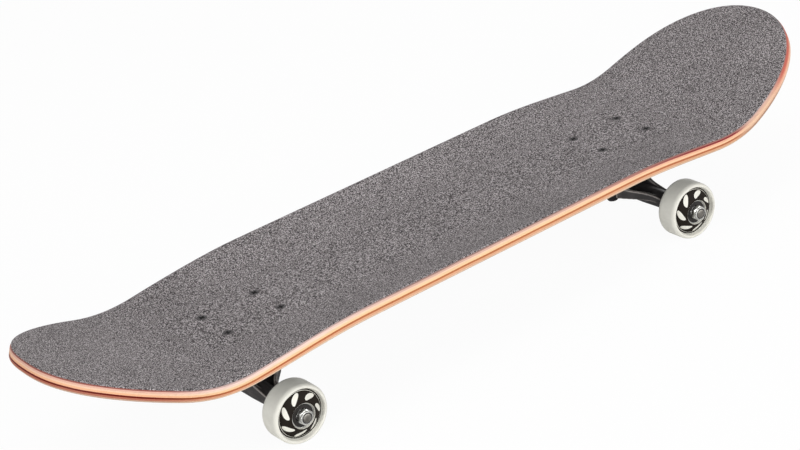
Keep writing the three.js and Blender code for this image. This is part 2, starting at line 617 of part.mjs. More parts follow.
/** One side of the wheel, from the bearing's mouth to the tread, as [radius, distance from the middle]. */
function wheelFace() {
  const tread = WHEEL_DIAMETER / 2;
  const lipCentre = [tread - WHEEL_LIP_RADIUS, WHEEL_TREAD_WIDTH / 2 - WHEEL_LIP_RADIUS];
  const face = [
    [BEARING_OUTER_DIAMETER / 2 + FIT_GAP, WHEEL_HUB_WIDTH / 2],
    [WHEEL_HUB_FACE_RADIUS, WHEEL_HUB_WIDTH / 2],
    [WHEEL_VALLEY_RADIUS, WHEEL_TREAD_WIDTH / 2 - WHEEL_VALLEY_DEPTH],
  ];
  for (const turn of [Math.PI / 3, 0]) {
    const radius = lipCentre[0] + WHEEL_LIP_RADIUS * Math.cos(turn);
    face.push([treadCorner(radius), lipCentre[1] + WHEEL_LIP_RADIUS * Math.sin(turn)]);
  }
  return face;
}

function makeWheel() {
  const face = wheelFace();
  const seat = BEARING_OUTER_DIAMETER / 2 + FIT_GAP;
  const land = SPACER_LENGTH / 2 - SEAT_GAP;
  const profile = [
    ...face.map(([radius, y]) => [radius, -y]), ...face.toReversed(),
    [seat, land], [WHEEL_CORE_BORE_RADIUS, land], [WHEEL_CORE_BORE_RADIUS, -land], [seat, -land],
  ];
  const halfSide = Math.PI / WHEEL_SIDES;
  return solid(turnedGeometry(profile, WHEEL_SIDES).rotateZ(halfSide).rotateX(-Math.PI / 2));
}

/** A bearing's outer ring with both shields, open to the bore, about Y at the given middle. */
function makeBearing(middle) {
  const radius = BEARING_OUTER_DIAMETER / 2;
  const race = radius - BEARING_RACE_WALL;
  const shield = INNER_RING_RADIUS + RUNNING_GAP;
  const half = BEARING_WIDTH / 2;
  const inside = half - BEARING_SHIELD_THICKNESS;
  return aboutY([
    [shield, -half], [radius, -half], [radius, half], [shield, half],
    [shield, inside], [race, inside], [race, -inside], [shield, -inside],
  ], BEARING_SIDES).translate([0, middle, 0]);
}

/** Both inner rings with the spacer that is clamped between them. */
function makeSpacer() {
  const bore = AXLE_DIAMETER / 2 + FIT_GAP;
  const half = BEARING_STACK / 2;
  const inner = SPACER_LENGTH / 2;
  return aboutY([
    [bore, -half], [INNER_RING_RADIUS, -half], [INNER_RING_RADIUS, -inner], [SPACER_RADIUS, -inner],
    [SPACER_RADIUS, inner], [INNER_RING_RADIUS, inner], [INNER_RING_RADIUS, half], [bore, half],
  ], BEARING_SIDES);
}

/** A wheel with its bearings, spacer and axle nut; side is 1 on the left and -1 on the right. */
function makeWheelSet(group, truck, end, side) {
  const hand = side * end > 0 ? "left" : "right";
  const name = `${truck}_${hand}`;
  const centre = [AXLE_X, side * WHEEL_CENTRE_Y, -TRUCK_HEIGHT];
  const bearing = (SPACER_LENGTH + BEARING_WIDTH) / 2;
  const nut = side > 0 ? makeAxleNut() : makeAxleNut().rotate([0, 0, 180]);
  const place = (label, material, body) => {
    group.add(piece(`${name}_${label}`, material, body.translate(centre)));
  };
  place("wheel", WHITE_URETHANE, makeWheel());
  place("outer_bearing", BEARING_STEEL, makeBearing(side * bearing));
  place("inner_bearing", BEARING_STEEL, makeBearing(-side * bearing));
  place("bearing_spacer", BEARING_STEEL, makeSpacer());
  place("axle_nut", BRIGHT_STEEL, nut.translate([0, side * (AXLE_NUT_Y - WHEEL_CENTRE_Y), 0]));
}

// ---- Trucks ----

/** A whole truck; end is 1 at the nose and -1 at the tail, where it is turned half round. */
function makeTruck(truck, end) {
  const group = new THREE.Group();
  group.position.set(end * TRUCK_CENTRE_X, 0, DECK_UNDERSIDE_Z - SEAT_GAP);
  group.rotation.z = end > 0 ? 0 : Math.PI;

  const leaning = new THREE.Group();
  leaning.position.set(RING_X, 0, -RING_DROP);
  leaning.rotation.y = -STEER_TILT;
  group.add(leaning);

  const boardWasher = makeCupWasher(BUSHING_RADIUS, BOARD_WASHER_START, 1);
  const roadWasher = makeCupWasher(ROAD_BUSHING_END_RADIUS, ROAD_WASHER_START, -1);
  group.add(piece(`${truck}_baseplate`, CAST_BLACK, makeBaseplate()));
  leaning.add(piece(`${truck}_pivot_cup`, BLACK_URETHANE, makePivotCup()));
  leaning.add(piece(`${truck}_kingpin`, AXLE_STEEL, makeKingpin()));
  leaning.add(piece(`${truck}_kingpin_nut`, BLACK_STEEL, makeKingpinNut()));
  leaning.add(piece(`${truck}_board_side_washer`, BLACK_STEEL, boardWasher));
  leaning.add(piece(`${truck}_road_side_washer`, BLACK_STEEL, roadWasher));
  leaning.add(piece(`${truck}_board_side_bushing`, BLACK_URETHANE, makeBoardBushing()));
  leaning.add(piece(`${truck}_road_side_bushing`, BLACK_URETHANE, makeRoadBushing()));
  group.add(piece(`${truck}_hanger`, CAST_BLACK, makeHanger()));
  group.add(piece(`${truck}_axle`, AXLE_STEEL, makeAxle()));
  makeWheelSet(group, truck, end, 1);
  makeWheelSet(group, truck, end, -1);
  return group;
}

const skateboard = new THREE.Group();
makeDeck(skateboard);
makeTruckBolts(skateboard);
skateboard.add(makeTruck("front", 1));
skateboard.add(makeTruck("rear", -1));

export default skateboard;
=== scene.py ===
"""Street skateboard: what the eye sees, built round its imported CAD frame.

Shapes are made in millimetres and placed in the part's frame, in metres: +Z is up and +X is towards the nose.
A truck's own frame starts on its plate's top face, in the middle of the bolts, with +X towards the axle.
Its steering frame starts in the middle of the hanger's ring, with +Z along the kingpin, towards the deck.
"""

import logging
import math
from dataclasses import dataclass, field
from enum import Enum

import bmesh
import bpy
from mathutils import Matrix, Vector
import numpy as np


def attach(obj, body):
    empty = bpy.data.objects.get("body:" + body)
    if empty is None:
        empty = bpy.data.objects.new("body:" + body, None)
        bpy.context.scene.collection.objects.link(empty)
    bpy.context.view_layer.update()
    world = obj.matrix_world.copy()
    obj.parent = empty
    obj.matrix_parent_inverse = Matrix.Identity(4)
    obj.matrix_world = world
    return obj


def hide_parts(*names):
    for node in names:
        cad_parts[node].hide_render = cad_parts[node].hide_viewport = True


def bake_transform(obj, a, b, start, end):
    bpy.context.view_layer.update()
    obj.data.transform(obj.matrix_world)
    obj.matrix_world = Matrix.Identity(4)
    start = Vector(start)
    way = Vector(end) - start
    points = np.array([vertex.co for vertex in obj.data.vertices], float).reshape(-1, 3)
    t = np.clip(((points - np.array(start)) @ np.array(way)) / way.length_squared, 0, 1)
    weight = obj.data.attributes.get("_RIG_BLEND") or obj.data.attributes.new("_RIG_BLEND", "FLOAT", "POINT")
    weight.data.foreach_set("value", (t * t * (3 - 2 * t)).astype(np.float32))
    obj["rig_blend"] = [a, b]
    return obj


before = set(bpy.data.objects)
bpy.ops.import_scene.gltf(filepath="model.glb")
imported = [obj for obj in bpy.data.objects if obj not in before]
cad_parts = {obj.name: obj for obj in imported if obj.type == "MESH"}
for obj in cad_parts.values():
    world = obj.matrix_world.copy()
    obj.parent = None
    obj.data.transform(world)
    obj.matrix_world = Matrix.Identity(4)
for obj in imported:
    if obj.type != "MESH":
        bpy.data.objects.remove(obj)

LOG = logging.getLogger("skateboard")
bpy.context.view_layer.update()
MM = 0.001

Point = tuple[float, float]
Corner = tuple[float, ...]
Colour = tuple[float, float, float, float]
Shape = bmesh.types.BMesh
Tree = bpy.types.NodeTree
Node = bpy.types.Node
Socket = bpy.types.NodeSocket
Item = bpy.types.Object


class End(Enum):
    """An end of the board, by the sign of its X."""

    FRONT = 1
    REAR = -1


class Side(Enum):
    """A side of a truck in the truck's own frame, by the sign of its Y."""

    PLUS = 1
    MINUS = -1


class Mix(Enum):
    """How one closed shape is combined with another."""

    JOIN = "UNION"
    CUT = "DIFFERENCE"
    COMMON = "INTERSECT"


# ---- Shapes in millimetres ----

# A rounded corner takes less than half of each edge beside it.
CORNER_SHARE = 0.49
# Points of a turned shape that lie closer than this become one.
WELD = 1e-4
# A bore is this much wider all round than what goes through it.
FIT = 0.2
# A cutter reaches at least this far past what it cuts.
OVERCUT = 1.0
# The grain and the rounds of smoothing that give a casting its soft edges and filleted corners.
CAST_GRAIN = 0.7
CAST_PASSES = 5
# A hexagon's turned face, as a share of the width across its flats.
HEX_FACE_SHARE = 0.97
# The material number of a piece's second finish.
INLAY = 1

# Turns for what is made flat or along Z and lies another way.
ALONG_X = Matrix.Rotation(math.pi / 2, 4, "Y")
ALONG_Y = Matrix.Rotation(-math.pi / 2, 4, "X")
STANDING = Matrix.Rotation(math.pi / 2, 4, "X")
FACING_X = Matrix(((0, 0, 1, 0), (1, 0, 0, 0), (0, 1, 0, 0), (0, 0, 0, 1)))
UPSIDE_DOWN = Matrix.Rotation(math.pi, 4, "X")


def as_mesh(shape: Shape, name: str) -> bpy.types.Mesh:
    """Turns a shape, which is used up, into a mesh.

    Args:
        shape: The shape.
        name: The mesh's name.

    Returns:
        The mesh.
    """
    mesh = bpy.data.meshes.new(name)
    shape.to_mesh(mesh)
    shape.free()
    return mesh


def placed(name: str, data: bpy.types.ID) -> Item:
    """Puts a mesh, a lamp or a camera in the scene.

    Args:
        name: The new object's name.
        data: What it holds.

    Returns:
        The object.
    """
    item = bpy.data.objects.new(name, data)
    bpy.context.scene.collection.objects.link(item)
    return item


def rounded(corners: list[Corner], closed: bool, steps: int = 4) -> list[Point]:
    """Rounds an outline's corners.

    Args:
        corners: Each corner as two coordinates, and a third for how far from it the rounding starts.
        closed: Whether the last corner joins the first.
        steps: How many edges a rounded corner gets.

    Returns:
        The outline's points.
    """
    outline: list[Point] = []
    for index, corner in enumerate(corners):
        here = Vector(corner[:2])
        free_end = not closed and index in (0, len(corners) - 1)
        if len(corner) < 3 or free_end:
            outline.append((here.x, here.y))
            continue
        before = Vector(corners[index - 1][:2]) - here
        after = Vector(corners[(index + 1) % len(corners)][:2]) - here
        start = here + before.normalized() * min(corner[2], before.length * CORNER_SHARE)
        end = here + after.normalized() * min(corner[2], after.length * CORNER_SHARE)
        for step in range(steps + 1):
            share = step / steps
            point = start.lerp(here, share).lerp(here.lerp(end, share), share)
            outline.append((point.x, point.y))
    return outline


def turned(profile: list[Point], steps: int) -> Shape:
    """Spins a profile about Z.

    Args:
        profile: Radius and height of each point; it is closed unless both of its ends are on the axis.
        steps: How many faces the full turn has.

    Returns:
        The closed shape.
    """
    shape = bmesh.new()
    points = [shape.verts.new((radius, 0.0, height)) for radius, height in profile]
    pairs = list(zip(points, points[1:]))
    if profile[0][0] > 0 or profile[-1][0] > 0:
        pairs.append((points[-1], points[0]))
    edges = [shape.edges.new(pair) for pair in pairs]
    bmesh.ops.spin(
        shape, geom=points + edges, cent=(0, 0, 0), axis=(0, 0, 1),
        angle=math.tau, steps=steps, use_merge=True,
    )
    bmesh.ops.remove_doubles(shape, verts=shape.verts, dist=WELD)
    bmesh.ops.recalc_face_normals(shape, faces=shape.faces)
    return shape


def extruded(outline: list[Point], low: float, high: float, taper: float = 1.0) -> Shape:
    """Extrudes a flat outline along Z.

    Args:
        outline: The outline's X and Y.
        low: The height that it starts from.
        high: The height that it ends at.
        taper: The size of its high end as a share of its low end.

    Returns:
        The closed shape.
    """
    shape = bmesh.new()
    face = shape.faces.new([shape.verts.new((x, y, low)) for x, y in outline])
    grown = bmesh.ops.extrude_face_region(shape, geom=[face])["geom"]
    far = [item for item in grown if isinstance(item, bmesh.types.BMVert)]
    bmesh.ops.scale(shape, verts=far, vec=(taper, taper, 1.0))
    bmesh.ops.translate(shape, verts=far, vec=(0, 0, high - low))
    bmesh.ops.recalc_face_normals(shape, faces=shape.faces)
    return shape


def block(low: tuple[float, float, float], high: tuple[float, float, float]) -> Shape:
    """A cutting block between two corners."""
    outline = [(low[0], low[1]), (high[0], low[1]), (high[0], high[1]), (low[0], high[1])]
    return extruded(outline, low[2], high[2])


def moved(shape: Shape, place: Matrix) -> Shape:
    """Moves a shape and gives it back."""
    shape.transform(place)
    return shape


def together(shapes: list[Shape]) -> Shape:
    """Puts separate closed shapes into one mesh.

    Args:
        shapes: The shapes, which are used up.

    Returns:
        The mesh that holds them all.
    """
    whole = bmesh.new()
    for shape in shapes:
        holder = as_mesh(shape, "holder")
        whole.from_mesh(holder)
        bpy.data.meshes.remove(holder)
    return whole


def put_away(item: Item) -> None:
    """Removes a workpiece and its mesh."""
    mesh = item.data
    bpy.data.objects.remove(item)
    bpy.data.meshes.remove(mesh)


def taken_off(item: Item) -> Shape:
    """Takes a workpiece off the bench as a shape, with its modifiers applied."""
    shape = bmesh.new()
    shape.from_object(item, bpy.context.evaluated_depsgraph_get())
    put_away(item)
    return shape


def combined(body: Shape, how: Mix, *tools: Shape) -> Shape:
    """Joins, cuts or intersects a closed shape with others, one after another.

    Args:
        body: The shape that is worked on, which is used up.
        how: What is done.
        *tools: The other shapes, which are used up.

    Returns:
        The new shape.
    """
    for tool in tools:
        item = placed("workpiece", as_mesh(body, "workpiece"))
        other = placed("tool", as_mesh(tool, "tool"))
        modifier = item.modifiers.new("combined", "BOOLEAN")
        modifier.operation = how.value
        modifier.solver = "MANIFOLD"
        modifier.object = other
        body = taken_off(item)
        put_away(other)
    return body


def cast(shape: Shape) -> Shape:
    """Gives a sharp shape the soft edges and filleted corners of a casting.

    Args:
        shape: The sharp shape, which is used up.

    Returns:
        The casting's shape.
    """
    item = placed("workpiece", as_mesh(shape, "workpiece"))
    remesh = item.modifiers.new("cast", "REMESH")
    remesh.mode = "VOXEL"
    remesh.voxel_size = CAST_GRAIN
    smooth = item.modifiers.new("soften", "SMOOTH")
    smooth.factor = 0.5
    smooth.iterations = CAST_PASSES
    return cleared(taken_off(item))


def cleared(shape: Shape) -> Shape:
    """Clears a casting of the loose specks that the mould's grain leaves: all but its largest shell.

    Args:
        shape: The casting's shape.

    Returns:
        The same shape, as one shell.
    """
    left = set(shape.verts)
    shells: list[list[bmesh.types.BMVert]] = []
    while left:
        shell = [left.pop()]
        for vert in shell:
            near = [edge.other_vert(vert) for edge in vert.link_edges]
            fresh = [other for other in near if other in left]
            left.difference_update(fresh)
            shell.extend(fresh)
        shells.append(shell)
    shells.sort(key=len)
    specks = [vert for shell in shells[:-1] for vert in shell]
    bmesh.ops.delete(shape, geom=specks, context="VERTS")
    return shape


def mark_edges_for_wear_and_highlight(shape: Shape) -> Shape:
    """Marks how far each point of a casting stands out from those round it, for the wear and the painted
    highlight on its edges.

    Args:
        shape: The casting, whose points get the attribute rubbed, in millimetres.

    Returns:
        The same shape.
    """
    shape.normal_update()
    layer = shape.verts.layers.float.new("rubbed")
    for vert in shape.verts:
        near = [edge.other_vert(vert).co for edge in vert.link_edges]
        vert[layer] = (vert.co - sum(near, Vector()) / len(near)).dot(vert.normal)
    return shape


def inlaid(shape: Shape) -> Shape:
    """Gives all of a shape's faces its piece's second finish."""
    for face in shape.faces:
        face.material_index = INLAY
    return shape


def mirrored(corners: list[Corner], axis: int) -> list[Corner]:
    """Mirrors an outline's corners and turns their order round, so that the outline runs on.

    Args:
        corners: The corners.
        axis: 0 if the first coordinate changes its sign, and 1 if the second does.

    Returns:
        The mirrored corners.
    """
    return [
        tuple(-value if place == axis else value for place, value in enumerate(corner))
        for corner in reversed(corners)
    ]


def quarter_round(radius: float, middle: float = 0.0) -> list[Point]:
    """A quarter of a circle, from straight out of the axis up to it.

    Args:
        radius: The circle's radius.
        middle: The height of its middle, which is on the axis.

    Returns:
        Seven points, the last of them on the axis.
    """
    angles = [math.radians(degrees) for degrees in range(0, 90, 15)]
    points = [(radius * math.cos(angle), middle + radius * math.sin(angle)) for angle in angles]
    return points + [(0.0, middle + radius)]


def thread(
    first: float, second: float, pitch: float, low: float, high: float, finished: bool = True
) -> list[Point]:
    """The side of a thread, as rings that take turns between two radii.

    Args:
        first: The radius at the start of each turn.
        second: The radius halfway along it.
        pitch: A turn's length.
        low: The height of the first turn's start.
        high: The height that every turn starts below.
        finished: Whether it ends on the first radius again.

    Returns:
        Its points, from the lowest.
    """
    points: list[Point] = []
    height = low
    while height < high:
        points += [(first, height), (second, height + pitch / 2)]
        height += pitch
    return points + [(first, height)] if finished else points


def rod(radius: float, low: float, high: float, steps: int = 48) -> Shape:
    """A plain cutting rod about Z."""
    return turned([(0, low), (radius, low), (radius, high), (0, high)], steps)


def hexagon(flats: float, low: float, high: float, crown: float) -> Shape:
    """A hexagon about Z with its corners turned down at both ends.

    Args:
        flats: The width across its flats.
        low: The height of its lower face.
        high: The height of its upper face.
        crown: How far down the turned corners reach.

    Returns:
        The shape.
    """
    corner = flats / 2 / math.cos(math.pi / 6)
    prism = bmesh.new()
    bmesh.ops.create_cone(
        prism, cap_ends=True, segments=6, radius1=corner, radius2=corner, depth=high - low + 2 * OVERCUT
    )
    bmesh.ops.translate(prism, verts=prism.verts, vec=(0, 0, (low + high) / 2))
    face, outside = flats / 2 * HEX_FACE_SHARE, corner + 0.05
    side = [(0, low), (face, low), (outside, low + crown), (outside, high - crown), (face, high), (0, high)]
    return combined(prism, Mix.COMMON, turned(side, 60))


@dataclass(frozen=True)
class LockNut:
    """A nylon-insert nut that stands on Z from 0, in millimetres.

    Attributes:
        bore: Its bore's radius.
        insert: The insert's outer radius.
        root: How far the collar reaches down into the hexagon.
        grip: How far the insert reaches in past the bore, to hold the thread.
    """

    flats: float
    hex_height: float
    height: float
    bore: float
    insert: float
    collar_share: float = 0.95
    crown_share: float = 0.07
    root: float = 0.6
    gap: float = 0.03
    grip: float = 0.12

    def build(self) -> Shape:
        """Makes the nut, whose insert has the second finish."""
        collar, foot, top = self.flats / 2 * self.collar_share, self.hex_height - self.root, self.height
        side = [(self.insert, foot), (collar, foot), (collar, top - 0.15, 1.1), (self.insert, top, 0.2)]
        ring = turned(rounded(side, closed=True), 60)
        prism = hexagon(self.flats, 0.0, self.hex_height, self.flats * self.crown_share)
        body = combined(combined(prism, Mix.JOIN, ring), Mix.CUT, rod(self.bore, -OVERCUT, top + OVERCUT))
        inner, outer, floor = self.bore - self.grip, self.insert - self.gap, self.hex_height + self.gap
        side = [(inner, floor), (outer, floor), (outer, top - 0.25), (inner, top - 0.35, 0.3)]
        return together([body, inlaid(turned(rounded(side, closed=True), 48))])


# ---- Finishes ----

# A noise pattern seldom passes these two values, so they take its darkest and its lightest shade.
FAINT, STRONG = 0.35, 0.65


def colour(code: str) -> Colour:
    """Turns an sRGB hex value into the linear colour that a shader takes.

    Args:
        code: Six hex digits after a number sign.

    Returns:
        Linear red, green and blue, and an alpha of 1.
    """
    channels = [int(code[place:place + 2], 16) / 255 for place in (1, 3, 5)]
    red, green, blue = [c / 12.92 if c <= 0.04045 else ((c + 0.055) / 1.055) ** 2.4 for c in channels]
    return red, green, blue, 1.0


def wire(node: Node, inputs: dict[str | int, object]) -> None:
    """Sets a node's inputs.

    Args:
        node: The node.
        inputs: By socket name or number, either a value or another node's output socket.
    """
    for name, value in inputs.items():
        if isinstance(value, Socket):
            node.id_data.links.new(value, node.inputs[name])
        else:
            node.inputs[name].default_value = value


def add(tree: Tree, kind: str, inputs: dict[str | int, object] | None = None, **settings: object) -> Node:
    """Adds a node.

    Args:
        tree: The material's or world's node tree.
        kind: The node's type, without the ShaderNode that every one starts with.
        inputs: By socket name or number, either a value or another node's output socket.
        **settings: The node's own properties; for a colour ramp, stops gives its positions and colours,
            and between its interpolation.

    Returns:
        The new node.
    """
    node = tree.nodes.new(f"ShaderNode{kind}")
    stops = settings.pop("stops", None)
    if stops:
        node.color_ramp.interpolation = settings.pop("between", "LINEAR")
        elements = node.color_ramp.elements
        elements[0].position, elements[0].color = stops[0]
        elements[1].position, elements[1].color = stops[-1]
        for position, shade in stops[1:-1]:
            elements.new(position).color = shade
    for name, value in settings.items():
        setattr(node, name, value)
    wire(node, inputs or {})
    return node


def per_metre(size_mm: float) -> float:
    """The texture scale at which one feature is that many millimetres wide."""
    return 1000.0 / size_mm


def grey(value: float) -> Colour:
    """A plain grey, for multiplying or masking."""
    return value, value, value, 1.0


# A colour Mix node's sockets, by number, because their names are shared with its other kinds.
FACTOR, FIRST, SECOND, MIXED = 0, 6, 7, 2


@dataclass(frozen=True)
class Finish:
    """A finish: a name and the way that its shader is made.

    Attributes:
        name: The material's name.
        sharp_degrees: The angle past which two faces that have it meet in a crisp edge.
    """

    name: str
    sharp_degrees: float = field(default=32.0, kw_only=True)

    def material(self) -> bpy.types.Material:
        """Makes the material once, and gives the same one each time after that.

        Returns:
            The material.
        """
        found = bpy.data.materials.get(self.name)
        if found is not None:
            return found
        material = bpy.data.materials.new(self.name)
        material.use_nodes = True
        tree = material.node_tree
        self.paint(tree, tree.nodes["Principled BSDF"])
        return material

    def paint(self, tree: Tree, shader: Node) -> None:
        """Sets the shader and its patterns up.

        Args:
            tree: The material's node tree.
            shader: Its Principled BSDF.
        """
        raise NotImplementedError


@dataclass(frozen=True)
class Stretch:
    """A stretch of the deck along which its veneers keep the same shades, which hold the dye and, in some
    stretches, painted light and shade.

    Attributes:
        start_mm: The X at which the shades behind it begin to change into its own.
        end_mm: The X at which they have changed.
        shades: Its veneers' shades, from the top.
    """

    start_mm: float
    end_mm: float
    shades: tuple[str, ...]


@dataclass(frozen=True)
class PressedMaple(Finish):
    """Seven hard maple veneers pressed with glue, some of them dyed, over a stained underside.

    The sanded edge shows each veneer as its own line, with fine streaks of grain along it.
    Its colours read the attribute ply_depth, which runs from 0 at the top face to 1 at the underside.
    Each veneer changes its shade from the tail to the nose, partly with the dye and partly as painted light
    and shade.

    Attributes:
        ply_starts: The depth at which each veneer starts, as a share of the deck's thickness.
        stretches: The tail, by the rear truck, the middle, by the front truck, the shoulder where the
            nose starts to turn in, and the nose's tip.
        underside: The depth past which the stain lies.
        wander: How far a glue line wanders, as a share of the deck's thickness.
    """

    ply_starts: tuple[float, ...] = (0.0, 0.135, 0.265, 0.39, 0.54, 0.68, 0.83)
    stretches: tuple[Stretch, ...] = (
        # Beside the dye, these shades hold painted light: painted shade darkens the tail, and painted glare
        # on the lacquered round pales the top veneers by the rear truck and the whole shoulder.
        Stretch(-406, -406, ("#985a50", "#dcac9a", "#ebc3a6", "#ecb28c", "#640f00", "#ae6a54", "#c8a690")),
        Stretch(-350, -270, ("#c8aca6", "#efd0c4", "#f0d6bc", "#f3c99a", "#b5683e", "#dfa582", "#ebceb2")),
        Stretch(-220, -90, ("#a08078", "#d4ab9c", "#eecbad", "#f3cb9d", "#b97145", "#dea784", "#e8c6aa")),
        Stretch(30, 240, ("#9e7068", "#87262a", "#ecb092", "#f6c7a0", "#b56b44", "#dca783", "#e4c3a6")),
        Stretch(268, 295, ("#cda99e", "#d9b09c", "#e9c0a4", "#f3cbab", "#e6bea0", "#b48a72", "#dcc0ac")),
        Stretch(318, 356, ("#b87468", "#cb6252", "#cf7460", "#ec9f84", "#f8c0a2", "#e8c2a8", "#e2c8b2")),
    )
    underside: float = 0.99
    stain: str = "#33373c"
    stain_thin: str = "#4a4e53"
    wave_mm: float = 40.0
    wander: float = 0.03
    streak_length_mm: float = 28.0
    streak_width_mm: float = 0.55
    streak_shade: float = 0.84
    streak_depth_mm: float = 0.1
    roughness: float = 0.5
    sheen: float = 0.18

    def veneers(self, tree: Tree, place: Socket, depth: Socket) -> Socket:
        """Colours each veneer along the whole deck.

        Args:
            tree: The material's node tree.
            place: The point's place.
            depth: Its depth in the deck.

        Returns:
            The socket that gives the veneer's colour.
        """
        wave = add(tree, "TexNoise", {"Vector": place, "Scale": per_metre(self.wave_mm), "Detail": 2.0})
        wander = add(
            tree, "MapRange", {"Value": wave.outputs["Fac"], "To Min": -self.wander, "To Max": self.wander}
        )
        wavy = add(tree, "Math", {0: depth, 1: wander.outputs["Result"]}, operation="ADD")
        along = add(tree, "SeparateXYZ", {"Vector": place})
        bands = [
            add(
                tree, "ValToRGB", {"Fac": wavy.outputs[0]}, between="CONSTANT",
                stops=[(start, colour(shade)) for start, shade in zip(self.ply_starts, stretch.shades)],
            )
            for stretch in self.stretches
        ]
        plies = bands[0].outputs["Color"]
        for stretch, band in zip(self.stretches[1:], bands[1:]):
            reached = add(
                tree, "MapRange",
                {"Value": along.outputs["X"], "From Min": stretch.start_mm * MM,
                 "From Max": stretch.end_mm * MM},
                interpolation_type="SMOOTHSTEP",
            )
            plies = add(
                tree, "Mix",
                {FACTOR: reached.outputs["Result"], FIRST: plies, SECOND: band.outputs["Color"]},
                data_type="RGBA",
            ).outputs[MIXED]
        return plies

    def paint(self, tree: Tree, shader: Node) -> None:
        """Lays the veneers, their grain and the underside's stain."""
        depth = add(tree, "Attribute", attribute_name="ply_depth").outputs["Fac"]
        place = add(tree, "TexCoord").outputs["Object"]
        veneers = self.veneers(tree, place, depth)
        stretched = add(
            tree, "Mapping",
            {"Vector": place, "Scale": (self.streak_width_mm / self.streak_length_mm, 1.0, 1.0)},
        )
        streaks = add(
            tree, "TexNoise",
            {"Vector": stretched.outputs["Vector"], "Scale": per_metre(self.streak_width_mm), "Detail": 3.0},
        )
        lightness = add(
            tree, "ValToRGB", {"Fac": streaks.outputs["Fac"]},
            stops=[(0.3, grey(self.streak_shade)), (0.7, grey(1.0))],
        )
        wood = add(
            tree, "Mix",
            {FACTOR: 1.0, FIRST: veneers, SECOND: lightness.outputs["Color"]},
            data_type="RGBA", blend_type="MULTIPLY",
        )
        stained = add(
            tree, "ValToRGB", {"Fac": streaks.outputs["Fac"]},
            stops=[(FAINT, colour(self.stain)), (0.7, colour(self.stain_thin))],
        )
        below = add(tree, "Math", {0: depth, 1: self.underside}, operation="GREATER_THAN")
        finished = add(
            tree, "Mix",
            {FACTOR: below.outputs[0], FIRST: wood.outputs[MIXED], SECOND: stained.outputs["Color"]},
            data_type="RGBA",
        )
        bump = add(
            tree, "Bump",
            {"Height": streaks.outputs["Fac"], "Strength": 0.3, "Distance": self.streak_depth_mm * MM},
        )
        wire(shader, {
            "Base Color": finished.outputs[MIXED], "Normal": bump.outputs["Normal"],
            "Roughness": self.roughness, "Specular IOR Level": self.sheen,
        })


@dataclass(frozen=True)
class GritPaper(Finish):
    """Silicon carbide grit in resin on a backing sheet: matt dark grey, with dusty patches and light speckles
    that paint the grains' glints.

    Real grains are about 0.2 mm; they are drawn as coarse as 1 mm in colour, so that they show.

    Attributes:
        dusty_shade: The lightness of the cleaner patches, beside 1 for the dusty ones.
        speckle_mm: The grain that shows as colour.
        grain_mm: The grain that shows as relief.
    """

    dark: str = "#2c2829"
    middle: str = "#6e6869"
    # The lightest speckles are the grit's own lighter grains and also painted highlights for their glints.
    light: str = "#c2bcbd"
    dusty_shade: float = 0.9
    speckle_mm: float = 1.0
    grain_mm: float = 0.35
    grain_depth_mm: float = 0.2
    patch_mm: float = 60.0
    roughness: float = 0.9
    sheen: float = 0.35

    def paint(self, tree: Tree, shader: Node) -> None:
        """Scatters the grit."""
        place = add(tree, "TexCoord").outputs["Object"]
        speckle = add(
            tree, "TexNoise",
            {"Vector": place, "Scale": per_metre(self.speckle_mm), "Detail": 1.0, "Roughness": 0.6},
        )
        tone = add(
            tree, "ValToRGB", {"Fac": speckle.outputs["Fac"]},
            stops=[(0.38, colour(self.dark)), (0.5, colour(self.middle)), (0.62, colour(self.light))],
        )
        patches = add(tree, "TexNoise", {"Vector": place, "Scale": per_metre(self.patch_mm), "Detail": 3.0})
        dust = add(
            tree, "ValToRGB", {"Fac": patches.outputs["Fac"]},
            stops=[(FAINT, grey(self.dusty_shade)), (STRONG, grey(1.0))],
        )
        dusty = add(
            tree, "Mix",
            {FACTOR: 1.0, FIRST: tone.outputs["Color"], SECOND: dust.outputs["Color"]},
            data_type="RGBA", blend_type="MULTIPLY",
        )
        grains = add(tree, "TexVoronoi", {"Vector": place, "Scale": per_metre(self.grain_mm)})
        bump = add(
            tree, "Bump",
            {"Height": grains.outputs["Distance"], "Strength": 0.5, "Distance": self.grain_depth_mm * MM},
        )
        wire(shader, {
            "Base Color": dusty.outputs[MIXED], "Normal": bump.outputs["Normal"],
            "Roughness": self.roughness, "Specular IOR Level": self.sheen,
        })


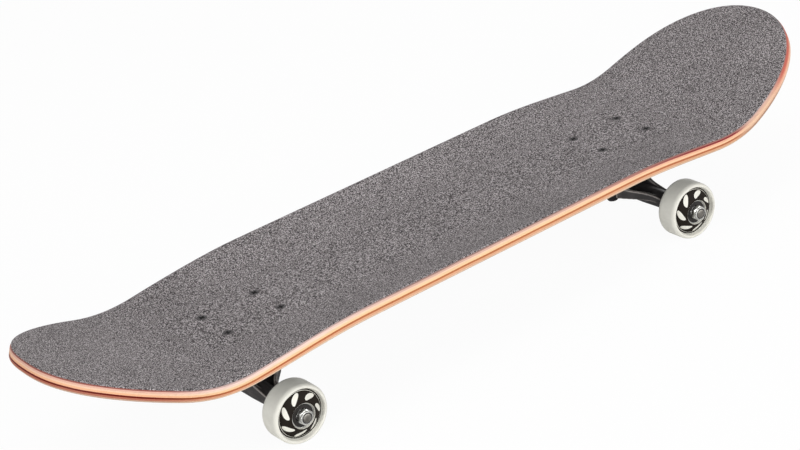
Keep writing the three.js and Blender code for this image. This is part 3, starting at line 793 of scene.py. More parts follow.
@dataclass(frozen=True)
class CoatedMetal(Finish):
    """Metal under a thin dark coat, such as powder coat on a casting or black oxide on steel.

    The coat's fine peel breaks the highlights up, and it is a little lighter where hands rub it.
    A casting's outer edges, which the attribute rubbed marks, are lightened towards the metal: partly wear,
    and partly a painted highlight of the light that the rounded edges catch.

    Attributes:
        edge: The colour laid along the outer edges, for the bare metal and as a painted highlight, or nothing
            where the piece has none.
        rough_spread: How far the roughness falls between rubbed patches, and rises on them.
        edge_wear_and_highlight_mm: How far a point stands out where the wear and the painted highlight start,
            and where they are full.
        knocks: The least and the most of the edge colour, bare metal and painted highlight, that an edge
            takes.
    """

    base: str = "#3d3a3a"
    rubbed: str = "#4b4747"
    metallic: float = 0.3
    roughness: float = 0.4
    edge: str = ""
    rough_spread: tuple[float, float] = (0.06, 0.08)
    handling_mm: float = 9.0
    peel_mm: float = 0.9
    peel_depth_mm: float = 0.03
    edge_wear_and_highlight_mm: tuple[float, float] = (0.01, 0.06)
    knocks: tuple[float, float] = (0.3, 0.9)

    def paint(self, tree: Tree, shader: Node) -> None:
        """Coats the metal."""
        place = add(tree, "TexCoord").outputs["Object"]
        peel = add(tree, "TexNoise", {"Vector": place, "Scale": per_metre(self.peel_mm), "Detail": 3.0})
        handling = add(
            tree, "TexNoise", {"Vector": place, "Scale": per_metre(self.handling_mm), "Detail": 4.0}
        ).outputs["Fac"]
        shade = add(
            tree, "ValToRGB", {"Fac": handling},
            stops=[(0.4, colour(self.base)), (0.75, colour(self.rubbed))],
        )
        fall, rise = self.rough_spread
        gloss = add(
            tree, "MapRange",
            {"Value": handling, "From Min": 0.3, "From Max": 0.7,
             "To Min": self.roughness - fall, "To Max": self.roughness + rise},
        )
        bump = add(
            tree, "Bump",
            {"Height": peel.outputs["Fac"], "Strength": 0.6, "Distance": self.peel_depth_mm * MM},
        )
        tone = shade.outputs["Color"]
        if self.edge:
            rubbed = add(tree, "Attribute", attribute_name="rubbed")
            worn = add(
                tree, "MapRange",
                {"Value": rubbed.outputs["Fac"], "From Min": self.edge_wear_and_highlight_mm[0], "From Max": self.edge_wear_and_highlight_mm[1]},
            )
            # Some stretches of an edge have met more knocks than others, and the painted highlight follows
            # the same patches.
            knocked = add(
                tree, "MapRange",
                {"Value": handling, "From Min": FAINT, "From Max": 0.6,
                 "To Min": self.knocks[0], "To Max": self.knocks[1]},
            )
            bright = add(
                tree, "Math", {0: worn.outputs["Result"], 1: knocked.outputs["Result"]},
                operation="MULTIPLY",
            )
            tone = add(
                tree, "Mix",
                {FACTOR: bright.outputs[0], FIRST: tone, SECOND: colour(self.edge)}, data_type="RGBA",
            ).outputs[MIXED]
        wire(shader, {
            "Base Color": tone, "Roughness": gloss.outputs["Result"], "Normal": bump.outputs["Normal"],
            "Metallic": self.metallic,
        })


@dataclass(frozen=True)
class BareMetal(Finish):
    """Turned or plated steel: bright, with fine tool marks round it and a slight haze.

    Attributes:
        rough_spread: How far the roughness falls and rises from patch to patch.
        haze_mm: The size of a hazy patch.
    """

    base: str = "#d8d8d5"
    shade: str = "#b4b4b0"
    roughness: float = 0.22
    rough_spread: tuple[float, float] = (0.06, 0.1)
    haze_mm: float = 4.0
    mark_mm: float = 0.35
    mark_depth_mm: float = 0.02

    def paint(self, tree: Tree, shader: Node) -> None:
        """Polishes the metal."""
        place = add(tree, "TexCoord").outputs["Object"]
        haze = add(
            tree, "TexNoise", {"Vector": place, "Scale": per_metre(self.haze_mm), "Detail": 3.0}
        ).outputs["Fac"]
        tone = add(
            tree, "ValToRGB", {"Fac": haze},
            stops=[(FAINT, colour(self.shade)), (STRONG, colour(self.base))],
        )
        fall, rise = self.rough_spread
        gloss = add(
            tree, "MapRange",
            {"Value": haze, "From Min": 0.3, "From Max": 0.7,
             "To Min": self.roughness - fall, "To Max": self.roughness + rise},
        )
        marks = add(tree, "TexNoise", {"Vector": place, "Scale": per_metre(self.mark_mm), "Detail": 2.0})
        bump = add(
            tree, "Bump",
            {"Height": marks.outputs["Fac"], "Strength": 0.25, "Distance": self.mark_depth_mm * MM},
        )
        wire(shader, {
            "Base Color": tone.outputs["Color"], "Roughness": gloss.outputs["Result"],
            "Normal": bump.outputs["Normal"], "Metallic": 1.0,
        })


@dataclass(frozen=True)
class Moulded(Finish):
    """Cast urethane, nylon or rubber: one even colour, a soft sheen and a faint cloudiness.

    Attributes:
        cloud_mm: The size of a cloud.
        skin_mm: The size of the mould's texture.
    """

    base: str
    cloud: str
    roughness: float
    cloud_mm: float = 7.0
    skin_mm: float = 0.6
    skin_depth_mm: float = 0.03

    def paint(self, tree: Tree, shader: Node) -> None:
        """Casts the plastic."""
        place = add(tree, "TexCoord").outputs["Object"]
        clouds = add(tree, "TexNoise", {"Vector": place, "Scale": per_metre(self.cloud_mm), "Detail": 4.0})
        tone = add(
            tree, "ValToRGB", {"Fac": clouds.outputs["Fac"]},
            stops=[(FAINT, colour(self.base)), (STRONG, colour(self.cloud))],
        )
        skin = add(tree, "TexNoise", {"Vector": place, "Scale": per_metre(self.skin_mm), "Detail": 2.0})
        bump = add(
            tree, "Bump",
            {"Height": skin.outputs["Fac"], "Strength": 0.3, "Distance": self.skin_depth_mm * MM},
        )
        wire(shader, {
            "Base Color": tone.outputs["Color"], "Normal": bump.outputs["Normal"],
            "Roughness": self.roughness,
        })


@dataclass(frozen=True)
class PrintedUrethane(Finish):
    """Off-white cast urethane with a pad print on its outer face: a black band with curved vanes left bare.

    The print reads the piece's UV map, which holds millimetres from the wheel's axle; bare faces hold zero.

    Attributes:
        band_mm: The band's inner and outer radius.
        vane_mm: The inner and outer radius of a vane's two points.
        sweep_per_mm: How far a vane turns for each millimetre out, in radians times the number of vanes.
        slimness: What a vane's beat has to pass in the middle of its reach, and how much more at its points.
        roughness: The roughness of the urethane and of the ink, which dries matt.
        sheen: Their specular levels.
    """

    base: str = "#ebe9df"
    cloud: str = "#e2e0d6"
    ink: str = "#1d1712"
    cloud_mm: float = 12.0
    band_mm: Point = (11.45, 21.9)
    vanes: int = 7
    vane_mm: Point = (13.0, 20.1)
    sweep_per_mm: float = 0.5
    slimness: Point = (0.1, 1.1)
    line_mm: float = 20.5
    line_half_mm: float = 0.16
    roughness: Point = (0.5, 0.65)
    sheen: Point = (0.5, 0.12)

    def mask(self, tree: Tree) -> Socket:
        """Works out where the ink is.

        Args:
            tree: The material's node tree.

        Returns:
            The socket that gives 1 on the ink and 0 elsewhere.
        """
        spot = add(tree, "UVMap", uv_map="print").outputs["UV"]
        across = add(tree, "SeparateXYZ", {"Vector": spot})
        reach = add(tree, "VectorMath", {0: spot}, operation="LENGTH").outputs["Value"]
        turn = add(tree, "Math", {0: across.outputs["Y"], 1: across.outputs["X"]}, operation="ARCTAN2")
        vane_turn = add(tree, "Math", {0: turn.outputs[0], 1: float(self.vanes)}, operation="MULTIPLY")
        swept = add(
            tree, "Math", {0: reach, 1: self.sweep_per_mm, 2: vane_turn.outputs[0]},
            operation="MULTIPLY_ADD",
        )
        beat = add(tree, "Math", {0: swept.outputs[0]}, operation="SINE")
        # A vane is widest in the middle of its reach and comes to a point at both ends.
        middle, half = sum(self.vane_mm) / 2, (self.vane_mm[1] - self.vane_mm[0]) / 2
        offset = add(tree, "Math", {0: reach, 1: middle}, operation="SUBTRACT")
        share = add(tree, "Math", {0: offset.outputs[0], 1: half}, operation="DIVIDE")
        square = add(tree, "Math", {0: share.outputs[0], 1: 2.0}, operation="POWER")
        least, more = self.slimness
        limit = add(tree, "Math", {0: square.outputs[0], 1: more, 2: least}, operation="MULTIPLY_ADD")
        vane = add(tree, "Math", {0: beat.outputs[0], 1: limit.outputs[0]}, operation="GREATER_THAN")
        line = add(tree, "Math", {0: reach, 1: self.line_mm, 2: self.line_half_mm}, operation="COMPARE")
        bare = add(tree, "Math", {0: vane.outputs[0], 1: line.outputs[0]}, operation="MAXIMUM")
        middle, half = sum(self.band_mm) / 2, (self.band_mm[1] - self.band_mm[0]) / 2
        band = add(tree, "Math", {0: reach, 1: middle, 2: half}, operation="COMPARE")
        inked = add(tree, "Math", {0: band.outputs[0], 1: bare.outputs[0]}, operation="SUBTRACT")
        return add(tree, "Math", {0: inked.outputs[0], 1: 0.0}, operation="MAXIMUM").outputs[0]

    def paint(self, tree: Tree, shader: Node) -> None:
        """Casts the tyre and prints its band."""
        place = add(tree, "TexCoord").outputs["Object"]
        clouds = add(tree, "TexNoise", {"Vector": place, "Scale": per_metre(self.cloud_mm), "Detail": 3.0})
        tyre = add(
            tree, "ValToRGB", {"Fac": clouds.outputs["Fac"]},
            stops=[(FAINT, colour(self.cloud)), (STRONG, colour(self.base))],
        )
        mask = self.mask(tree)
        printed = add(
            tree, "Mix", {FACTOR: mask, FIRST: tyre.outputs["Color"], SECOND: colour(self.ink)},
            data_type="RGBA",
        )
        rough, sheen = (
            add(tree, "MapRange", {"Value": mask, "To Min": bare, "To Max": inked})
            for bare, inked in (self.roughness, self.sheen)
        )
        wire(shader, {
            "Base Color": printed.outputs[MIXED], "Roughness": rough.outputs["Result"],
            "Specular IOR Level": sheen.outputs["Result"],
        })


@dataclass(frozen=True)
class StudioFloor(Finish):
    """A white sweep: it looks white, takes a soft shadow, and throws light back up.

    Attributes:
        own_light: How much of its whiteness doesn't depend on the lamps, so that the rest takes a shadow.
    """

    base: str = "#f4f4f4"
    own_light: float = 0.955

    def paint(self, tree: Tree, shader: Node) -> None:
        """Makes the floor look white to the camera while it keeps a shadow."""
        wire(shader, {"Base Color": colour(self.base), "Roughness": 1.0, "Specular IOR Level": 0.0})
        rays = add(tree, "LightPath")
        share = add(tree, "Math", {0: rays.outputs["Is Camera Ray"], 1: self.own_light}, operation="MULTIPLY")
        glow = add(tree, "Emission", {"Color": grey(1.0), "Strength": 1.0})
        both = add(
            tree, "MixShader", {0: share.outputs[0], 1: shader.outputs["BSDF"], 2: glow.outputs["Emission"]}
        )
        wire(tree.nodes["Material Output"], {"Surface": both.outputs["Shader"]})


MAPLE = PressedMaple("hard_maple_plywood")
GRIT = GritPaper("silicon_carbide_grip_tape")
# Powder coat is satin, and the sandblasted aluminium shows warm grey where it has rubbed through; the same
# warm grey along the edges is also a painted highlight of the light that they catch.
CAST_BLACK = CoatedMetal("powder_coated_aluminium_casting", edge="#b3aba5", sharp_degrees=40.0)
# Grit dust leaves the bolt heads as grey as the tape round them.
BOLT_STEEL = CoatedMetal(
    "dusty_black_oxide_steel", base="#3e3a3b", rubbed="#565253", metallic=0.2, roughness=0.6, peel_mm=0.5,
)
# The cross recess is painted near black: the oxide's own black, deepened as painted shade in the recess.
RECESS_SHADE_STEEL = CoatedMetal(
    "oiled_black_oxide_steel", base="#0c0b0b", rubbed="#151414", metallic=0.0, roughness=0.7, peel_mm=0.5,
)
# Black oxide is thin, so the steel's gloss shows through it.
BLACK_STEEL = CoatedMetal(
    "black_oxide_steel", base="#26262a", rubbed="#47474a", metallic=0.7, roughness=0.36, peel_mm=0.5,
)
# Zinc is bright and a little milky, a turned axle darker, and a ground bearing ring almost a mirror.
NUT_STEEL = BareMetal("zinc_plated_steel")
AXLE_STEEL = BareMetal("turned_alloy_steel", base="#8d8a84", shade="#6f6c67", roughness=0.34)
RACE_STEEL = BareMetal("ground_bearing_steel", base="#d5d5d2", shade="#b4b4b1", roughness=0.2)
# The shield's rubber is dull, the bushings' urethane has a sheen, and the nylon is a shade greyer.
SHIELD_RUBBER = Moulded("nitrile_rubber_shield", base="#181412", cloud="#211c19", roughness=0.62)
BUSHING = Moulded("black_cast_urethane", base="#1b1b1e", cloud="#262629", roughness=0.42)
NYLON = Moulded("dark_nylon_insert", base="#2c2b2b", cloud="#383737", roughness=0.5)
TYRE = PrintedUrethane("printed_cast_urethane")
FLOOR = StudioFloor("white_studio_sweep")


# ---- Placing pieces ----


def add_piece(shape: Shape, name: str, place: Matrix, finishes: list[Finish]) -> Item:
    """Makes a finished piece at the part's origin, with its place in its mesh.

    Args:
        shape: The piece's shape in millimetres, which is used up.
        name: The piece's name.
        place: From the shape's own frame to the part's, in metres.
        finishes: The piece's finishes, in the order of its faces' material numbers.

    Returns:
        The piece.
    """
    mesh = as_mesh(moved(shape, place), name)
    mesh.shade_smooth()
    mesh.set_sharp_from_angle(angle=math.radians(finishes[0].sharp_degrees))
    for finish in finishes:
        mesh.materials.append(finish.material())
    LOG.info("%s: %d faces", name, len(mesh.polygons))
    return placed(name, mesh)


def seat(piece: Item, body: str, slot: str, *nodes: str) -> None:
    """Fixes a piece to its body.

    Args:
        piece: The piece.
        body: The body that it rides on.
        slot: The finish slot that it belongs to; not used.
        *nodes: The CAD nodes that it stands for.
    """
    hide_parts(*nodes)
    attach(piece, body)


# ---- Deck ----


@dataclass(frozen=True)
class Kick:
    """A bent-up end: an arc and then a straight slope, in millimetres and degrees."""

    start: float
    radius: float
    angle: float

    def height(self, reach: float) -> float:
        """The height that the bend adds at a distance from the board's middle."""
        tilt = math.radians(self.angle)
        run = reach - self.start
        bend_run = self.radius * math.sin(tilt)
        if run <= 0:
            return 0.0
        if run < bend_run:
            return self.radius - math.sqrt(self.radius ** 2 - run ** 2)
        return self.radius * (1 - math.cos(tilt)) + (run - bend_run) * math.tan(tilt)


@dataclass(frozen=True)
class Taper:
    """How an end narrows to its tip: where it starts, and the outline's exponents."""

    start: float
    along: float
    across: float


@dataclass(frozen=True)
class DeckForm:
    """The mould and the outline that the deck and its tape share, in millimetres."""

    length: float = 813.0
    width: float = 203.2
    top_z: float = 85.6
    flat_half_width: float = 28.6
    concave_depth: float = 13.0
    concave_full_x: float = 145.0
    concave_end_x: float = 325.0
    nose_kick: Kick = Kick(250.0, 125.0, 23.0)
    tail_kick: Kick = Kick(258.0, 160.0, 22.0)
    nose_taper: Taper = Taper(269.5, 2.4, 2.06)
    tail_taper: Taper = Taper(211.0, 2.78, 2.46)
    tip_share: float = 0.99999

    def height(self, x: float, y: float) -> float:
        """The moulded surface's height over its flat middle."""
        kick = self.nose_kick if x > 0 else self.tail_kick
        share = (abs(x) - self.concave_full_x) / (self.concave_end_x - self.concave_full_x)
        share = min(max(share, 0.0), 1.0)
        fade = 1 - share * share * (3 - 2 * share)
        side = max(abs(y) - self.flat_half_width, 0.0) / (self.width / 2 - self.flat_half_width)
        return kick.height(abs(x)) + self.concave_depth * fade * side ** 2

    def normal(self, x: float, y: float) -> Vector:
        """The moulded surface's upward normal."""
        step = 0.01
        slope_x = (self.height(x + step, y) - self.height(x - step, y)) / (2 * step)
        slope_y = (self.height(x, y + step) - self.height(x, y - step)) / (2 * step)
        return Vector((-slope_x, -slope_y, 1.0)).normalized()

    def half_width(self, x: float, inset: float) -> float:
        """Half the outline's width at x, for an outline that lies inside the deck's by the inset."""
        taper = self.nose_taper if x > 0 else self.tail_taper
        along = max(abs(x) - taper.start, 0.0) / (self.length / 2 - inset - taper.start)
        return (self.width / 2 - inset) * max(1 - along ** taper.along, 0.0) ** (1 / taper.across)

    def point(self, along: float, across: float, inset: float, offset: float) -> Vector:
        """A point on a sheet pressed in the mould.

        Args:
            along: From -1 at the tail's tip to 1 at the nose's.
            across: From -1 at the right edge to 1 at the left.
            inset: How far the sheet's outline lies inside the deck's.
            offset: The height over the deck's top, square to it.

        Returns:
            The point.
        """
        x = (self.length / 2 - inset) * self.tip_share * math.sin(along * math.pi / 2)
        y = across * self.half_width(x, inset)
        return Vector((x, y, self.top_z + self.height(x, y))) + self.normal(x, y) * offset


@dataclass(frozen=True)
class PressedSheet:
    """A sheet in the deck's form.

    Attributes:
        form: The mould.
        rim: Inset and offset of each line round its edge, from the top face's to the underside's.
        columns: How many faces it has along its length.
        rows: How many faces it has across.
        weld: Points of it that lie closer than this become one.
    """

    form: DeckForm
    rim: list[Point]
    columns: int = 200
    rows: int = 32
    weld: float = 2e-3

    def build(self) -> Shape:
        """Presses the sheet.

        Returns:
            The closed shape.
        """
        sheet = bmesh.new()
        bmesh.ops.create_grid(sheet, x_segments=self.columns, y_segments=self.rows, size=1.0)
        along = sheet.verts.layers.float.new("along")
        across = sheet.verts.layers.float.new("across")
        for vert in sheet.verts:
            vert[along], vert[across] = vert.co.x, vert.co.y
        under = bmesh.ops.duplicate(sheet, geom=sheet.faces[:])["geom"]
        low_faces = [item for item in under if isinstance(item, bmesh.types.BMFace)]
        low_verts = {vert for face in low_faces for vert in face.verts}
        bmesh.ops.reverse_faces(sheet, faces=low_faces)
        for vert in sheet.verts:
            inset, offset = self.rim[-1] if vert in low_verts else self.rim[0]
            vert.co = self.form.point(vert[along], vert[across], inset, offset)
        line = [edge for edge in sheet.edges if edge.is_boundary and edge.verts[0] not in low_verts]
        for inset, offset in self.rim[1:]:
            grown = bmesh.ops.extrude_edge_only(sheet, edges=line)["geom"]
            for vert in (item for item in grown if isinstance(item, bmesh.types.BMVert)):
                vert.co = self.form.point(vert[along], vert[across], inset, offset)
            line = [item for item in grown if isinstance(item, bmesh.types.BMEdge)]
        bmesh.ops.remove_doubles(sheet, verts=sheet.verts, dist=self.weld)
        sheet.verts.layers.float.remove(sheet.verts.layers.float["along"])
        sheet.verts.layers.float.remove(sheet.verts.layers.float["across"])
        bmesh.ops.recalc_face_normals(sheet, faces=sheet.faces)
        return sheet


@dataclass(frozen=True)
class TruckSpot:
    """Where the trucks are bolted on, in millimetres."""

    centre_x: float = 207.9625
    bolt_spacing_x: float = 53.975
    bolt_spacing_y: float = 41.275
    plate_top_z: float = 74.5

    def frame(self, end: End) -> Matrix:
        """From a truck's own frame in millimetres to the part's in metres."""
        half_turn = 0.0 if end is End.FRONT else math.pi
        place = Matrix.Translation((end.value * self.centre_x, 0, self.plate_top_z))
        return Matrix.Scale(MM, 4) @ place @ Matrix.Rotation(half_turn, 4, "Z")

    def bolts(self, end: End) -> list[Point]:
        """The X and Y of a truck's four bolts, in the order of their numbers."""
        return [
            (end.value * self.centre_x + dx * self.bolt_spacing_x / 2, dy * self.bolt_spacing_y / 2)
            for dx in (1, -1) for dy in (1, -1)
        ]


SPOT = TruckSpot()
FORM = DeckForm()


@dataclass(frozen=True)
class TruckBolt:
    """A countersunk cross-head bolt, flush with the tape, and its nylon-insert nut, in millimetres.

    Attributes:
        recess_foot: The size of the cross at the recess's floor, as a share of that at the face.
        nut_top_z: The height of the nut's face against the plate.
    """

    top_z: float = 86.5
    end_z: float = 61.7
    radius: float = 2.415
    chamfer: float = 0.5
    chamfer_length: float = 0.4
    thread_depth: float = 0.32
    thread_pitch: float = 0.794
    thread_length: float = 12.0
    head_radius: float = 4.7
    head_depth: float = 2.8
    head_rim: float = 0.25
    recess_half: float = 3.0
    recess_width: float = 2.0
    recess_depth: float = 2.3
    recess_foot: float = 0.7
    nut_top_z: float = 67.9
    nut: LockNut = LockNut(flats=9.5, hex_height=3.5, height=5.0, bore=radius + FIT, insert=4.2)

    def profile(self) -> list[Point]:
        """The bolt's side, from its end to the middle of its head."""
        side = thread(
            self.radius, self.radius - self.thread_depth, self.thread_pitch,
            self.end_z + self.chamfer_length, self.end_z + self.thread_length,
        )
        rim = self.top_z - self.head_rim
        return [
            (0.0, self.end_z), (self.radius - self.chamfer, self.end_z), *side,
            (self.radius, self.top_z - self.head_depth), (self.head_radius - 0.1, rim - 0.1),
            (self.head_radius, rim + 0.05), (self.head_radius - 0.2, self.top_z - 0.02), (0.0, self.top_z),
        ]

    def hole(self) -> Shape:
        """The cutter for its hole, which is a little wider all round."""
        neck, over = self.top_z - self.head_depth, self.top_z + 2 * OVERCUT
        shank, head = self.radius + FIT, self.head_radius + FIT
        side = [(0.0, self.end_z), (shank, self.end_z), (shank, neck), (head, self.top_z), (head, over)]
        return turned(side + [(0.0, over)], 40)

    def bolt(self) -> Shape:
        """Turns the bolt and punches its cross recess, which has the second finish."""
        half, side, foot = self.recess_half, self.recess_width / 2, self.recess_foot
        arm = [(half, -side), (half, side), (side, side)]
        quarter_turns = ((1, 0), (0, 1), (-1, 0), (0, -1))
        cross = [
            (foot * (x * cos - y * sin), foot * (x * sin + y * cos))
            for cos, sin in quarter_turns for x, y in arm
        ]
        punch = extruded(cross, self.top_z - self.recess_depth, self.top_z + 0.1, 1 / foot)
        return combined(turned(self.profile(), 32), Mix.CUT, inlaid(punch))

    def locked(self) -> Shape:
        """The nut, upside down under the plate."""
        return moved(self.nut.build(), Matrix.Translation((0, 0, self.nut_top_z)) @ UPSIDE_DOWN)


@dataclass(frozen=True)
class Deck:
    """The pressed deck, the tape on it and the bolts through both, in millimetres.

    Attributes:
        tape_wrap_degrees: How far it is pressed down round the edge.
        bolt_turn: How much further each bolt was left turned than the one before, in radians.
    """

    thickness: float = 11.0
    edge_round: float = 2.7
    tape_thickness: float = 0.8
    tape_gap: float = 0.1
    tape_wrap_degrees: float = 38.0
    bolt: TruckBolt = TruckBolt()
    bolt_turn: float = 0.7

    def deck_rim(self) -> list[Point]:
        """The deck's edge, sanded round at its top and bottom."""
        arc = [(self.edge_round - up, out - self.edge_round) for out, up in quarter_round(self.edge_round)]
        middle = [(0.0, -self.thickness * share) for share in (0.36, 0.5, 0.64)]
        low = [(inset, -self.thickness - offset) for inset, offset in reversed(arc)]
        return arc + middle + low

    def tape_rim(self) -> list[Point]:
        """The tape's edge, wrapped a little way over the deck's and filed thin."""
        under = self.edge_round + self.tape_gap
        over = under + self.tape_thickness
        points = []
        for share, reach in (
            (0.0, over), (0.35, over), (0.7, over), (0.9, over), (1.0, under), (0.6, under), (0.0, under)
        ):
            angle = math.radians(self.tape_wrap_degrees * share)
            inset = self.edge_round - reach * math.sin(angle)
            points.append((inset, reach * math.cos(angle) - self.edge_round))
        return points

    def drilled(self, sheet: Shape) -> Shape:
        """Drills the eight bolt holes through a sheet."""
        holes = [
            moved(self.bolt.hole(), Matrix.Translation((x, y, 0))) for end in End for x, y in SPOT.bolts(end)
        ]
        return combined(sheet, Mix.CUT, together(holes))

    def mark_plies(self, deck: Item) -> None:
        """Stores how deep each point of the deck lies between its two faces, for the veneers' colours."""
        depths = deck.data.attributes.new("ply_depth", "FLOAT", "POINT")
        values = []
        for vert in deck.data.vertices:
            x, y, z = vert.co / MM
            below = (FORM.top_z + FORM.height(x, y) - z) * FORM.normal(x, y).z
            values.append(min(max(below / self.thickness, 0.0), 0.999))
        depths.data.foreach_set("value", values)

    def fasten(self, end: End) -> None:
        """Puts a truck's four bolts and nuts in.

        Args:
            end: The end of the board that the truck is under.
        """
        truck = end.name.lower()
        for number, (x, y) in enumerate(SPOT.bolts(end), start=1):
            turn = Matrix.Rotation(self.bolt_turn * number, 4, "Z")
            place = Matrix.Scale(MM, 4) @ Matrix.Translation((x, y, 0)) @ turn
            for shape, label, node, finishes in (
                (self.bolt.bolt(), "cross_head_bolt", "bolt", [BOLT_STEEL, RECESS_SHADE_STEEL]),
                (self.bolt.locked(), "small_lock_nut", "nut", [BLACK_STEEL, NYLON]),
            ):
                piece = add_piece(shape, f"{truck}_{label}_{number}", place, finishes)
                seat(piece, "board", "black_steel", f"{truck}_truck_{node}_{number}")

    def build(self) -> None:
        """Makes the deck, the tape and the bolts."""
        place = Matrix.Scale(MM, 4)
        sheet = self.drilled(PressedSheet(FORM, self.deck_rim()).build())
        deck = add_piece(sheet, "pressed_deck", place, [MAPLE])
        self.mark_plies(deck)
        seat(deck, "board", "maple", "deck")
        tape = self.drilled(PressedSheet(FORM, self.tape_rim()).build())
        seat(add_piece(tape, "grip_sheet", place, [GRIT]), "board", "grip", "grip_tape")
        for end in End:
            self.fasten(end)


# ---- Trucks ----


@dataclass(frozen=True)
class Steering:
    """The axis that the hanger turns about, in millimetres in the truck's own frame.

    Attributes:
        ring_drop: How far it lies under the plate's top face.
        truck_height: How far the axle lies under the plate's top face.
        cup_start: How far along the axis from the ring the pivot cup starts.
        nose_centre: How far along it the middle of the hanger's pivot nose lies.
    """

    angle: float = 25.0
    ring_x: float = -15.5
    ring_drop: float = 28.8
    axle_x: float = 13.3
    truck_height: float = 48.0
    cup_start: float = 37.5
    nose_centre: float = 41.25

    def frame(self) -> Matrix:
        """From the steering frame to the truck's own."""
        lean = Matrix.Rotation(-math.radians(self.angle), 4, "Y")
        return Matrix.Translation((self.ring_x, 0, -self.ring_drop)) @ lean

    def axle(self) -> Matrix:
        """From the middle of the axle to the truck's own frame."""
        return Matrix.Translation((self.axle_x, 0, -self.truck_height))


STEER = Steering()


@dataclass(frozen=True)
class Baseplate:
    """The plate under the deck, with its kingpin boss and pivot housing in one casting, in millimetres.

    Attributes:
        kingpin_seat: The height over the ring of the boss's face, where the washer sits.
        seat_wall: The wall between that face and the kingpin's head.
    """

    length: float = 82.0
    width: float = 57.0
    thickness: float = 6.5
    corner: float = 13.0
    boss_radius: float = 13.5
    kingpin_seat: float = 17.6
    seat_wall: float = 4.4
    kingpin_bore: float = 4.95
    head_flats: float = 14.9
    housing_length: float = 14.5
    housing_radius: float = 11.3
    cup_radius: float = 7.7
    cup_depth: float = 11.2
    bolt_bore: float = TruckBolt.radius + FIT

    def outline(self) -> list[Point]:
        """The plate's outline, with broad round corners."""
        x, y = self.length / 2, self.width / 2
        corners = [(x, y), (-x, y), (-x, -y), (x, -y)]
        return rounded([(*corner, self.corner) for corner in corners], closed=True, steps=8)

    def build(self) -> Shape:
        """Casts the baseplate and machines its bores.

        Returns:
            The shape in the truck's own frame.
        """
        lean, start, radius = STEER.frame(), STEER.cup_start, self.housing_radius
        end, head = start + self.housing_length, self.kingpin_seat + self.seat_wall
        body = combined(
            extruded(self.outline(), -self.thickness, 0.0), Mix.JOIN,
            moved(rod(self.boss_radius, self.kingpin_seat, STEER.ring_drop + self.boss_radius), lean),
            moved(rod(radius, start, end), lean @ ALONG_X),
            moved(block((start, -radius, 0), (end, radius, STEER.ring_drop)), lean),
        )
        body = cast(combined(body, Mix.COMMON, extruded(self.outline(), -STEER.truck_height, 0.0)))
        holes = [
            moved(rod(self.bolt_bore, -self.thickness - 2, 2, 24), Matrix.Translation((x, y, 0)))
            for x in (-SPOT.bolt_spacing_x / 2, SPOT.bolt_spacing_x / 2)
            for y in (-SPOT.bolt_spacing_y / 2, SPOT.bolt_spacing_y / 2)
        ]
        return mark_edges_for_wear_and_highlight(combined(
            body, Mix.CUT,
            block((-90, -90, 0), (90, 90, 9)),
            moved(rod(self.cup_radius, start - 3, start + self.cup_depth), lean @ ALONG_X),
            moved(rod(self.kingpin_bore, self.kingpin_seat - 3, head + OVERCUT), lean),
            moved(hexagon(self.head_flats, head, 2 * STEER.ring_drop, 0.01), lean),
            together(holes),
        ))


